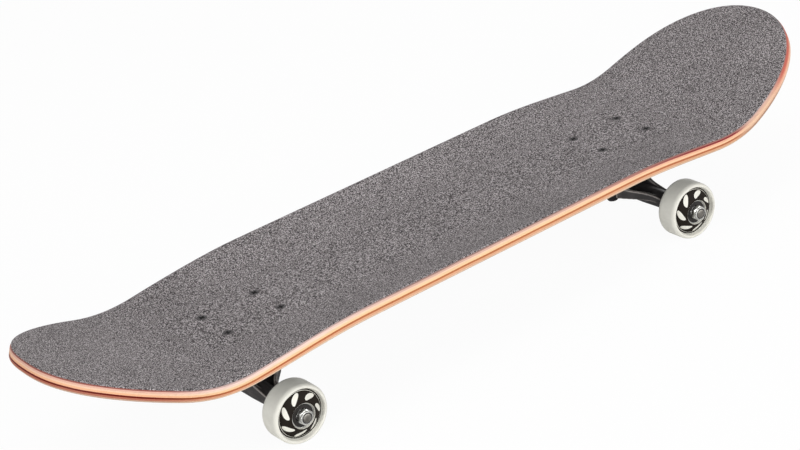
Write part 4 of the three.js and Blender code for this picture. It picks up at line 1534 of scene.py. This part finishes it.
@dataclass(frozen=True)
class Hanger:
    """The casting that carries the axle: barrel, two wings, ring and pivot nose, in millimetres.

    Attributes:
        barrel_even: How far from the middle the barrel keeps its full radius.
        arm_flare: How far from the axis the arm has reached that radius.
        wing_elevation: One wing's outline across Y and up from the axle, from its tip.
        wing_plan: One wing's inboard outline from above, X from the axle and Y, from its tip.
        wing_outboard: How far the wings reach past the axle, away from the ring.
        wing_inboard: How far they may reach towards the ring.
        wing_rise: More than they rise over the axle.
        relief_half_width: Half of the width of the opening for the kingpin nut.
        relief_reach: How far that opening reaches towards the barrel.
        nut_swing: How far under the ring's middle the nut's side of the seat is machined.
    """

    half_width: float = 68.5
    barrel_middle: float = 9.0
    barrel_end: float = 7.6
    barrel_even: float = 26.0
    ring_radius: float = 15.6
    ring_half_height: float = 4.5
    ring_bore: float = 6.2
    seat_radius: float = 12.6
    seat_height: float = 2.0
    arm_start: float = 9.6
    arm_flare: float = 2.5
    arm_end: float = 6.4
    arm_reach: float = 36.5
    nose_radius: float = 5.0
    wing_elevation: tuple[Corner, ...] = ((60.0, 0.0), (60.0, 3.7, 2.0), (26.0, 11.5, 8.0), (19.0, 20.0, 3.0))
    wing_plan: tuple[Corner, ...] = (
        (-8.0, 60.0), (-8.0, 50.0, 10.0), (-13.5, 36.0, 16.0), (-26.0, 24.0, 8.0), (-30.0, 19.0),
    )
    wing_outboard: float = 8.0
    wing_inboard: float = 34.0
    wing_tip: float = 60.0
    wing_rise: float = 50.0
    rib: float = 3.6
    pocket_floor: float = 4.0
    underside_degrees: float = 12.0
    block_half_width: float = 13.0
    relief_half_width: float = 17.6
    relief_reach: float = 10.2
    nut_swing: float = 15.4
    axle_bore: float = 4.17

    def elevation(self) -> list[Point]:
        """The wings' outline across Y and up from the axle."""
        half = list(self.wing_elevation)
        return rounded(half + mirrored(half, 0), closed=True)

    def plan(self, inset: float) -> list[Point]:
        """The wings' outline from above, X from the axle and Y, drawn in by an inset."""
        drawn = [(corner[0] + inset, *corner[1:]) for corner in self.wing_plan]
        outboard = self.wing_outboard - inset
        ends = [(outboard, -self.wing_tip), (outboard, self.wing_tip)]
        return rounded(ends + drawn + mirrored(drawn, 1), closed=True)

    def below(self, rise: float) -> Shape:
        """What lies under the wings' underside, which slopes up from the barrel to the ring.

        Args:
            rise: How far over the underside its own top is.

        Returns:
            The cutting shape, about the axle.
        """
        near, far = -self.wing_outboard, -self.wing_outboard - self.wing_inboard
        slope = math.tan(math.radians(self.underside_degrees)) * (near - far)
        outline = [(near, rise), (near, -40.0), (far, -40.0), (far, rise + slope)]
        half = self.wing_tip + 2 * OVERCUT
        return moved(extruded(outline, -half, half), STANDING)

    def wings(self) -> Shape:
        """Both wings, hollowed from above between two ribs, about the axle."""
        inboard, tip, rise, width = self.wing_inboard, self.wing_tip, self.wing_rise, self.block_half_width
        full = moved(extruded(self.elevation(), -inboard, self.wing_outboard + 3), FACING_X)
        full = combined(full, Mix.COMMON, extruded(self.plan(0.0), -rise, rise))
        full = combined(full, Mix.CUT, self.below(0.0))
        length, height = inboard - OVERCUT, rise + OVERCUT
        pocket = block((-length, -tip, self.pocket_floor), (length, tip, rise))
        pocket = combined(pocket, Mix.CUT, self.below(self.pocket_floor))
        pocket = combined(pocket, Mix.COMMON, extruded(self.plan(self.rib), -height, height))
        middle = block((-inboard, -width, -OVERCUT), (inboard, width, height + OVERCUT))
        return combined(full, Mix.CUT, combined(pocket, Mix.CUT, middle))

    def barrel(self) -> Shape:
        """The turned barrel about the axle."""
        half = [(0, -self.half_width), (self.barrel_end, -self.half_width, 1.0),
                (self.barrel_middle, -self.barrel_even)]
        return moved(turned(rounded(half + mirrored(half, 1), closed=False), 48), ALONG_Y)

    def middle(self) -> Shape:
        """The block between the arm and the barrel, in the steering frame."""
        reach = STEER.axle_x - STEER.ring_x
        rise = STEER.ring_drop - STEER.truck_height
        tilt = math.radians(STEER.angle)
        along = reach * math.cos(tilt) + rise * math.sin(tilt)
        up = rise * math.cos(tilt) - reach * math.sin(tilt)
        near, far = self.relief_reach, self.arm_reach + 1 - self.arm_end
        outline = [(near, 0), (near, up + self.barrel_end / 2), (along, up), (far, up / 2), (far, 0)]
        return moved(extruded(outline, -self.block_half_width, self.block_half_width), STANDING)

    def ring_and_arm(self) -> Shape:
        """The ring that the bushings clamp, and the arm with its pivot nose, in the steering frame."""
        arm = [
            (0, 0), (self.arm_start, self.arm_flare), (self.arm_start, self.ring_radius),
            (self.arm_end, self.arm_reach - 1.0), (self.nose_radius, self.arm_reach),
            *quarter_round(self.nose_radius, STEER.nose_centre),
        ]
        ring = rod(self.ring_radius, -self.ring_half_height, self.ring_half_height)
        return combined(ring, Mix.JOIN, moved(turned(arm, 48), ALONG_X))

    def relief(self) -> Shape:
        """What the pattern leaves open for the kingpin nut's swing, in the steering frame."""
        far, width = STEER.truck_height, self.relief_half_width
        swing = block((-far, -width, -far), (self.relief_reach, width, 0))
        return combined(swing, Mix.CUT, block((-60, -60, -self.ring_half_height), (60, 60, 60)))

    def bores(self) -> Shape:
        """What is machined round the kingpin: its bore and both bushing seats, in the steering frame."""
        far = STEER.truck_height
        return combined(
            rod(self.ring_bore, -self.ring_half_height - OVERCUT, far), Mix.JOIN,
            rod(self.seat_radius, self.seat_height, far - OVERCUT),
            rod(self.seat_radius, -self.nut_swing, -self.seat_height),
        )

    def build(self) -> Shape:
        """Casts the hanger and machines its bores.

        Returns:
            The shape in the truck's own frame.
        """
        axle, lean = STEER.axle(), STEER.frame()
        body = combined(
            moved(self.wings(), axle), Mix.JOIN,
            moved(self.barrel(), axle), moved(self.middle(), lean), moved(self.ring_and_arm(), lean),
        )
        body = cast(combined(body, Mix.CUT, moved(self.relief(), lean), moved(self.bores(), lean)))
        reach = self.half_width + 2 * OVERCUT
        bore = moved(rod(self.axle_bore, -reach, reach), axle @ ALONG_Y)
        return mark_edges_for_wear_and_highlight(combined(body, Mix.CUT, moved(self.bores(), lean), bore))


@dataclass(frozen=True)
class KingpinStack:
    """Kingpin, nut, cup washers, bushings and pivot cup, in millimetres in the steering frame.

    Attributes:
        board_bushing: The heights of the ends of the bushing on the deck's side.
        road_bushing: The heights of the ends of the bushing on the road's side.
        road_end_radius: The radius of that one's far end, which tapers.
        board_washer: How far from the ring's middle the washer on the deck's side starts.
        road_washer: How far from it the one on the road's side starts.
    """

    radius: float = 4.75
    head_start: float = 22.3
    head_height: float = 5.0
    flats: float = 14.3
    end: float = -27.4
    thread_depth: float = 0.5
    thread_pitch: float = 1.058
    nut_start: float = -15.4
    nut: LockNut = LockNut(flats=flats, hex_height=6.0, height=9.3, bore=radius + FIT, insert=6.2)
    bushing_radius: float = 12.2
    bushing_bore: float = 5.0
    bushing_bulge: float = 0.35
    board_bushing: Point = (2.3, 15.5)
    road_bushing: Point = (-13.3, -2.3)
    road_end_radius: float = 9.0
    board_washer: float = 15.8
    road_washer: float = 13.6
    washer: float = 1.5
    lip: float = 1.4
    lip_wall: float = 0.9
    lip_gap: float = 0.4
    cup_length: float = 11.0
    cup_radius: float = 7.5
    cup_cavity: float = 5.35

    def kingpin(self) -> Shape:
        """The kingpin, with its hexagon head at the deck's side."""
        side = thread(
            self.radius, self.radius - self.thread_depth, self.thread_pitch, self.end + 0.8, self.nut_start
        )
        inside_head = self.head_start + OVERCUT
        profile = [
            (0.0, self.end), (self.radius - 0.9, self.end), *side,
            (self.radius, inside_head), (0.0, inside_head),
        ]
        head = hexagon(self.flats, self.head_start, self.head_start + self.head_height, 1.0)
        return combined(turned(profile, 40), Mix.JOIN, head)

    def locked(self) -> Shape:
        """The lock nut, whose collar faces the road."""
        return moved(self.nut.build(), Matrix.Translation((0, 0, self.nut_start)) @ UPSIDE_DOWN)

    def bushing(self, low: float, high: float, low_radius: float, high_radius: float) -> Shape:
        """A bushing, slightly squeezed out between its two ends.

        Args:
            low: The height of its lower end.
            high: The height of its upper end.
            low_radius: The radius near its lower end.
            high_radius: The radius near its upper end.

        Returns:
            The shape.
        """
        side = [(low_radius - 0.5, low, 1.0), (low_radius, low + self.lip, 1.2)]
        for share in (0.3, 0.5, 0.7):
            radius = low_radius + (high_radius - low_radius) * share
            radius += self.bushing_bulge * math.sin(math.pi * share)
            side.append((min(radius, self.bushing_radius + 0.15), low + (high - low) * share))
        side += [(high_radius, high - self.lip, 1.2), (high_radius - 0.5, high, 1.0)]
        return turned(rounded([(self.bushing_bore, low), *side, (self.bushing_bore, high)], closed=True), 64)

    def cup_washer(self, held: float, start: float, facing: int) -> Shape:
        """A pressed cup washer.

        Args:
            held: The radius of the bushing's end that it holds.
            start: The distance of its inner face from the ring's middle.
            facing: 1 on the deck's side and -1 on the road's.

        Returns:
            The shape.
        """
        lip = held + self.lip_gap
        rim, back, front, bore = lip + self.lip_wall, start + self.washer, start - self.lip, self.bushing_bore
        shape = turned(rounded([
            (bore, start, 0.3), (lip, start, 0.5), (lip, front, 0.3), (rim, front, 0.4), (rim, back, 1.2),
            (bore, back, 0.3),
        ], closed=True), 64)
        return moved(shape, UPSIDE_DOWN) if facing < 0 else shape

    def pivot_cup(self) -> Shape:
        """The cup that the hanger's nose turns in, along the steering axis."""
        start, end = STEER.cup_start, STEER.cup_start + self.cup_length
        outside = rounded([
            (0.0, end), (self.cup_radius, end, 1.0), (self.cup_radius, start, 0.5),
            (self.cup_cavity + 0.7, start, 0.3),
        ], closed=False)
        cavity = [(self.cup_cavity, start + 1.5), *quarter_round(self.cup_cavity, STEER.nose_centre)]
        return moved(turned(outside + cavity, 48), ALONG_X)


@dataclass(frozen=True)
class Axle:
    """The axle through the hanger, threaded at both ends, in millimetres about Z.

    Attributes:
        thread_rub: How far the thread's crests are worn down.
    """

    radius: float = 3.97
    half_length: float = 100.8
    thread_length: float = 9.0
    thread_pitch: float = 1.058
    thread_depth: float = 0.42
    thread_rub: float = 0.02
    chamfer_length: float = 0.9

    def build(self) -> Shape:
        """Turns the axle."""
        end = self.half_length
        start = end - self.thread_length
        side = thread(
            self.radius - self.thread_depth, self.radius - self.thread_rub, self.thread_pitch,
            start + self.thread_pitch / 2, end - self.chamfer_length, finished=False,
        )
        tip = [(self.radius - 0.5, end - 0.15), (self.radius - 0.8, end), (0.0, end)]
        half = [(self.radius, start), *side, *tip]
        return moved(turned(half[::-1] + [(radius, -height) for radius, height in half], 48), ALONG_Y)


@dataclass(frozen=True)
class WheelSet:
    """A wheel with its bearings, spacer, speed washers and lock nut, about Z in millimetres, outer side up.

    Attributes:
        crest_radius: The radius of the lip's crest, where the tyre is as wide as its tread.
        lip_width: How deep the lip curves down to the tread.
        lip_wall: How far the lip curves in towards the hub.
        lip_drop: How deep it curves down there.
        land: Half of the width between the bearings' seats.
        gap: The play beside a speed washer.
        roll: How far a wheel was left rolled, for its end and for its side, in radians.
        nut_turn: How far its nut was left turned, and how much more for its side, in radians.
    """

    radius: float = 26.5
    tread_half: float = 10.9
    crest_radius: float = 23.9
    lip_width: float = 4.2
    lip_wall: float = 1.3
    lip_drop: float = 2.6
    hub_half: float = 13.4
    hub_face: float = 12.2
    valley_radius: float = 22.0
    valley: float = 6.2
    bearing_radius: float = 11.0
    bearing_width: float = 7.0
    race_land: float = 0.8
    inner_ring: float = 6.1
    core_bore: float = 8.5
    land: float = 4.9
    axle_radius: float = Axle.radius
    spacer_half: float = 5.0
    spacer_radius: float = 5.2
    washer: float = 0.8
    washer_radius: float = 6.2
    centre_y: float = 81.4
    nut_y: float = 94.3
    nut: LockNut = LockNut(flats=12.7, hex_height=4.3, height=6.0, bore=axle_radius + FIT, insert=4.9)
    gap: float = 0.05
    hanger_end: float = Hanger.half_width
    roll: Point = (0.4, 0.9)
    nut_turn: Point = (0.3, 0.5)

    def face(self) -> list[Corner]:
        """One side of the wheel, from its hub's mouth to the tread's edge."""
        corners: list[Corner] = [
            (self.bearing_radius + FIT, self.hub_half, 0.5), (self.hub_face, self.hub_half, 0.5),
            (self.valley_radius, self.valley, 1.2),
        ]
        # The lip is a tight curve towards the hub and a long one towards the tread.
        for degrees in range(160, -1, -5):
            towards_hub = degrees > 90
            across = self.lip_wall if towards_hub else self.radius - self.crest_radius
            deep = self.lip_drop if towards_hub else self.lip_width
            angle = math.radians(degrees)
            corners.append((
                self.crest_radius + across * math.cos(angle), self.tread_half - deep * (1 - math.sin(angle))
            ))
        return corners

    def wheel(self) -> Shape:
        """Casts the tyre and lays its print's map, in millimetres from the axle."""
        outer = self.face()[::-1]
        seats = [(self.bearing_radius + FIT, self.land, 0.3), (self.core_bore, self.land, 0.3)]
        profile = rounded(mirrored(outer, 1) + outer + seats + mirrored(seats, 1), closed=True)
        shape = turned(profile, 128)
        layer = shape.loops.layers.uv.new("print")
        for part in shape.faces:
            outward = part.calc_center_median().z > self.land and part.normal.z > 0.2
            for loop in part.loops:
                loop[layer].uv = loop.vert.co.xy if outward else (0.0, 0.0)
        return shape

    def bearing(self, middle: float) -> Shape:
        """A bearing's outer ring with a rubber shield in each face.

        Args:
            middle: The height of its middle.

        Returns:
            The shape, whose shields have the second finish.
        """
        half, race, gap = self.bearing_width / 2, self.bearing_radius - self.race_land, self.inner_ring + 0.25
        parts = [turned(rounded([
            (race, middle - half, 0.3), (self.bearing_radius, middle - half, 0.5),
            (self.bearing_radius, middle + half, 0.5), (race, middle + half, 0.3),
        ], closed=True), 72)]
        for facing in (1, -1):
            outer, under = middle + facing * (half - 0.3), middle + facing * (half - 1.0)
            pressed = outer - facing * 0.2
            parts.append(inlaid(turned(rounded([
                (gap, outer, 0.3), (gap + 0.7, pressed), (race - 0.7, pressed), (race - 0.02, outer, 0.3),
                (race - 0.02, under), (gap, under),
            ], closed=True), 72)))
        return together(parts)

    def spacer(self) -> Shape:
        """Both inner rings and the spacer between them."""
        bore, middle, end = self.axle_radius + FIT, self.spacer_half, self.spacer_half + self.bearing_width
        half = [(bore, -end, 0.3), (self.inner_ring, -end, 0.4), (self.inner_ring, -middle),
                (self.spacer_radius, -middle)]
        return turned(rounded(half + mirrored(half, 1), closed=True), 48)

    def speed_washer(self, low: float) -> Shape:
        """A thin washer that stands on Z from the given height."""
        bore, rim, high = self.axle_radius + 0.12, self.washer_radius, low + self.washer
        corners = [(bore, low, 0.1), (rim, low, 0.2), (rim, high, 0.2), (bore, high, 0.1)]
        return turned(rounded(corners, closed=True), 48)

    def build(self, end: End, side: Side) -> None:
        """Makes one wheel with all that belongs to it.

        Args:
            end: The truck that it is on.
            side: The side in that truck's own frame.
        """
        truck = end.name.lower()
        hand = "left" if end.value * side.value > 0 else "right"
        name = f"{truck}_{hand}"
        body, carrier = f"{name}_wheel_assembly", f"{truck}_hanger_assembly"
        hub = SPOT.frame(end) @ STEER.axle() @ Matrix.Rotation(-side.value * math.pi / 2, 4, "X")
        place = hub @ Matrix.Translation((0, 0, self.centre_y))
        rolled = self.roll[0] * end.value + self.roll[1] * side.value
        roll = place @ Matrix.Rotation(rolled, 4, "Z")
        turn = Matrix.Rotation(self.nut_turn[0] + self.nut_turn[1] * side.value, 4, "Z")
        lock = hub @ Matrix.Translation((0, 0, self.nut_y)) @ turn
        middle, bearing = self.spacer_half + self.bearing_width / 2, [RACE_STEEL, SHIELD_RUBBER]
        for shape, label, where, finishes, slot, node in (
            (self.wheel(), "tyre", roll, [TYRE], "wheel_urethane", "wheel"),
            (self.bearing(middle), "outer_ball_bearing", place, bearing, "bearing_steel", "outer_bearing"),
            (self.bearing(-middle), "inner_ball_bearing", place, bearing, "bearing_steel", "inner_bearing"),
            (self.spacer(), "inner_rings", place, [RACE_STEEL], "bearing_steel", "bearing_spacer"),
            (self.nut.build(), "axle_lock_nut", lock, [NUT_STEEL, NYLON], "nut_steel", "axle_nut"),
        ):
            seat(add_piece(shape, f"{name}_{label}", where, finishes), body, slot, f"{name}_{node}")
        lows = (("inner", self.hanger_end + self.gap), ("outer", self.nut_y - self.gap - self.washer))
        for label, low in lows:
            washer = add_piece(self.speed_washer(low), f"{name}_{label}_speed_washer", hub, [RACE_STEEL])
            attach(washer, carrier)


@dataclass(frozen=True)
class Truck:
    """A whole truck."""

    baseplate: Baseplate = Baseplate()
    hanger: Hanger = Hanger()
    stack: KingpinStack = KingpinStack()
    axle: Axle = Axle()
    wheels: WheelSet = WheelSet()

    def build(self, end: End) -> None:
        """Makes a truck with its wheels.

        Args:
            end: The end of the board that it is under.
        """
        truck, stack, place = end.name.lower(), self.stack, SPOT.frame(end)
        carrier, lean = f"{truck}_hanger_assembly", place @ STEER.frame()
        cup, nut, dull = stack.pivot_cup(), stack.locked(), [BLACK_STEEL]
        upper = stack.cup_washer(stack.bushing_radius, stack.board_washer, 1)
        lower = stack.cup_washer(stack.road_end_radius, stack.road_washer, -1)
        for shape, label, where, finishes, body, slot, node in (
            (self.baseplate.build(), "cast_plate", place, [CAST_BLACK], "board", "cast_black", "baseplate"),
            (self.hanger.build(), "cast_hanger", place, [CAST_BLACK], carrier, "cast_black", "hanger"),
            (cup, "moulded_pivot_cup", lean, [BUSHING], "board", "bushing_urethane", "pivot_cup"),
            (stack.kingpin(), "turned_kingpin", lean, [AXLE_STEEL], "board", "kingpin_steel", "kingpin"),
            (nut, "kingpin_lock_nut", lean, [BLACK_STEEL, NYLON], "board", "black_steel", "kingpin_nut"),
            (upper, "board_side_cup_washer", lean, dull, "board", "black_steel", "board_side_washer"),
            (lower, "road_side_cup_washer", lean, dull, "board", "black_steel", "road_side_washer"),
        ):
            seat(add_piece(shape, f"{truck}_{label}", where, finishes), body, slot, f"{truck}_{node}")
        # A bushing is held by the board at its outer end and by the hanger at the ring.
        for label, (low, high), low_radius, fixed, turning in (
            ("board_side", stack.board_bushing, stack.bushing_radius, *stack.board_bushing[::-1]),
            ("road_side", stack.road_bushing, stack.road_end_radius, *stack.road_bushing),
        ):
            shape = stack.bushing(low, high, low_radius, stack.bushing_radius)
            bushing = add_piece(shape, f"{truck}_{label}_soft_bushing", lean, [BUSHING])
            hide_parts(f"{truck}_{label}_bushing")
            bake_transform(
                bushing, "board", carrier,
                start=lean @ Vector((0, 0, fixed)), end=lean @ Vector((0, 0, turning)),
            )
        axle = add_piece(self.axle.build(), f"{truck}_threaded_axle", place @ STEER.axle(), [AXLE_STEEL])
        seat(axle, carrier, "kingpin_steel", f"{truck}_axle")
        for side in Side:
            self.wheels.build(end, side)


# ---- Studio ----


@dataclass(frozen=True)
class Lamp:
    """A softbox.

    Attributes:
        name: Its name.
        place: Where it stands, in metres.
        watts: Its power.
        size: Its side, in metres.
        target: What it faces, in metres.
    """

    name: str
    place: tuple[float, float, float]
    watts: float
    size: float
    target: tuple[float, float, float] = (0.0, 0.0, 0.06)

    def build(self) -> None:
        """Hangs the softbox, facing the board."""
        data = bpy.data.lights.new(self.name, "AREA")
        data.energy = self.watts
        data.size = self.size
        lamp = placed(self.name, data)
        lamp.location = self.place
        lamp.rotation_euler = (Vector(self.target) - Vector(self.place)).to_track_quat("-Z", "Y").to_euler()


@dataclass(frozen=True)
class Studio:
    """White sweep, soft light and the camera.

    Attributes:
        eye: The camera's place, in metres.
        azimuth: The side that the camera stands on, in degrees.
        elevation: Its angle over the horizon, in degrees.
        roll: Its turn about its own line of sight, in degrees.
        focal: Its focal length in widths of the picture.
        sensor_mm: The width of its sensor.
        clip: The nearest and the furthest that it sees, in metres.
        ambient: The light that comes from all round.
        floor_half: Half of the floor's side, in metres.
        lamps: The softboxes.
    """

    eye: tuple[float, float, float] = (-1.00943, -1.55407, 0.98342)
    azimuth: float = -32.049
    elevation: float = 25.831
    roll: float = -10.464
    focal: float = 2.8986
    sensor_mm: float = 36.0
    clip: Point = (0.05, 60.0)
    ambient: float = 0.34
    floor_half: float = 12.0
    lamps: tuple[Lamp, ...] = (
        Lamp("top_softbox", (-0.4, -0.4, 2.8), 27.0, 1.8),
        Lamp("front_softbox", (0.0, -2.5, 1.3), 28.0, 1.4),
        Lamp("nose_softbox", (2.0, -2.2, 1.0), 17.0, 1.2),
        Lamp("side_softbox", (-2.5, -0.9, 0.4), 24.0, 0.9),
    )

    def camera(self) -> None:
        """Sets the camera up."""
        turn, rise, roll = (math.radians(angle) for angle in (self.azimuth, self.elevation, self.roll))
        back = Vector((math.sin(turn) * math.cos(rise), -math.cos(turn) * math.cos(rise), math.sin(rise)))
        level = Vector((0, 0, 1)).cross(back).normalized()
        upward = back.cross(level)
        right = math.cos(roll) * level + math.sin(roll) * upward
        top = -math.sin(roll) * level + math.cos(roll) * upward
        data = bpy.data.cameras.new("camera")
        data.sensor_width = self.sensor_mm
        data.lens = self.focal * self.sensor_mm
        data.clip_start, data.clip_end = self.clip
        camera = placed("camera", data)
        camera.matrix_world = Matrix.Translation(self.eye) @ Matrix((right, top, back)).transposed().to_4x4()
        bpy.context.scene.camera = camera

    def floor(self) -> None:
        """Lays the floor."""
        shape = bmesh.new()
        bmesh.ops.create_grid(shape, x_segments=1, y_segments=1, size=self.floor_half)
        mesh = as_mesh(shape, "floor")
        mesh.materials.append(FLOOR.material())
        placed("floor", mesh)

    def surroundings(self) -> None:
        """Makes the world give an even light, and look white wherever it is seen."""
        world = bpy.data.worlds.new("white_studio")
        world.use_nodes = True
        bpy.context.scene.world = world
        tree = world.node_tree
        rays = add(tree, "LightPath").outputs
        seen = add(tree, "Math", {0: rays["Is Camera Ray"], 1: rays["Is Glossy Ray"]}, operation="MAXIMUM")
        through = add(tree, "Math", {0: seen.outputs[0], 1: rays["Is Transmission Ray"]}, operation="MAXIMUM")
        strength = add(tree, "MapRange", {"Value": through.outputs[0], "To Min": self.ambient, "To Max": 1.0})
        wire(tree.nodes["Background"], {"Color": grey(1.0), "Strength": strength.outputs["Result"]})

    def build(self) -> None:
        """Sets the whole studio up."""
        self.camera()
        self.floor()
        self.surroundings()
        for lamp in self.lamps:
            lamp.build()
        bpy.context.scene.view_settings.view_transform = "Standard"


def main() -> None:
    """Builds the studio, the deck and both trucks."""
    logging.basicConfig(level=logging.INFO, format="%(name)s %(message)s")
    Studio().build()
    Deck().build()
    for end in End:
        Truck().build(end)


if __name__ == "__main__":
    main()
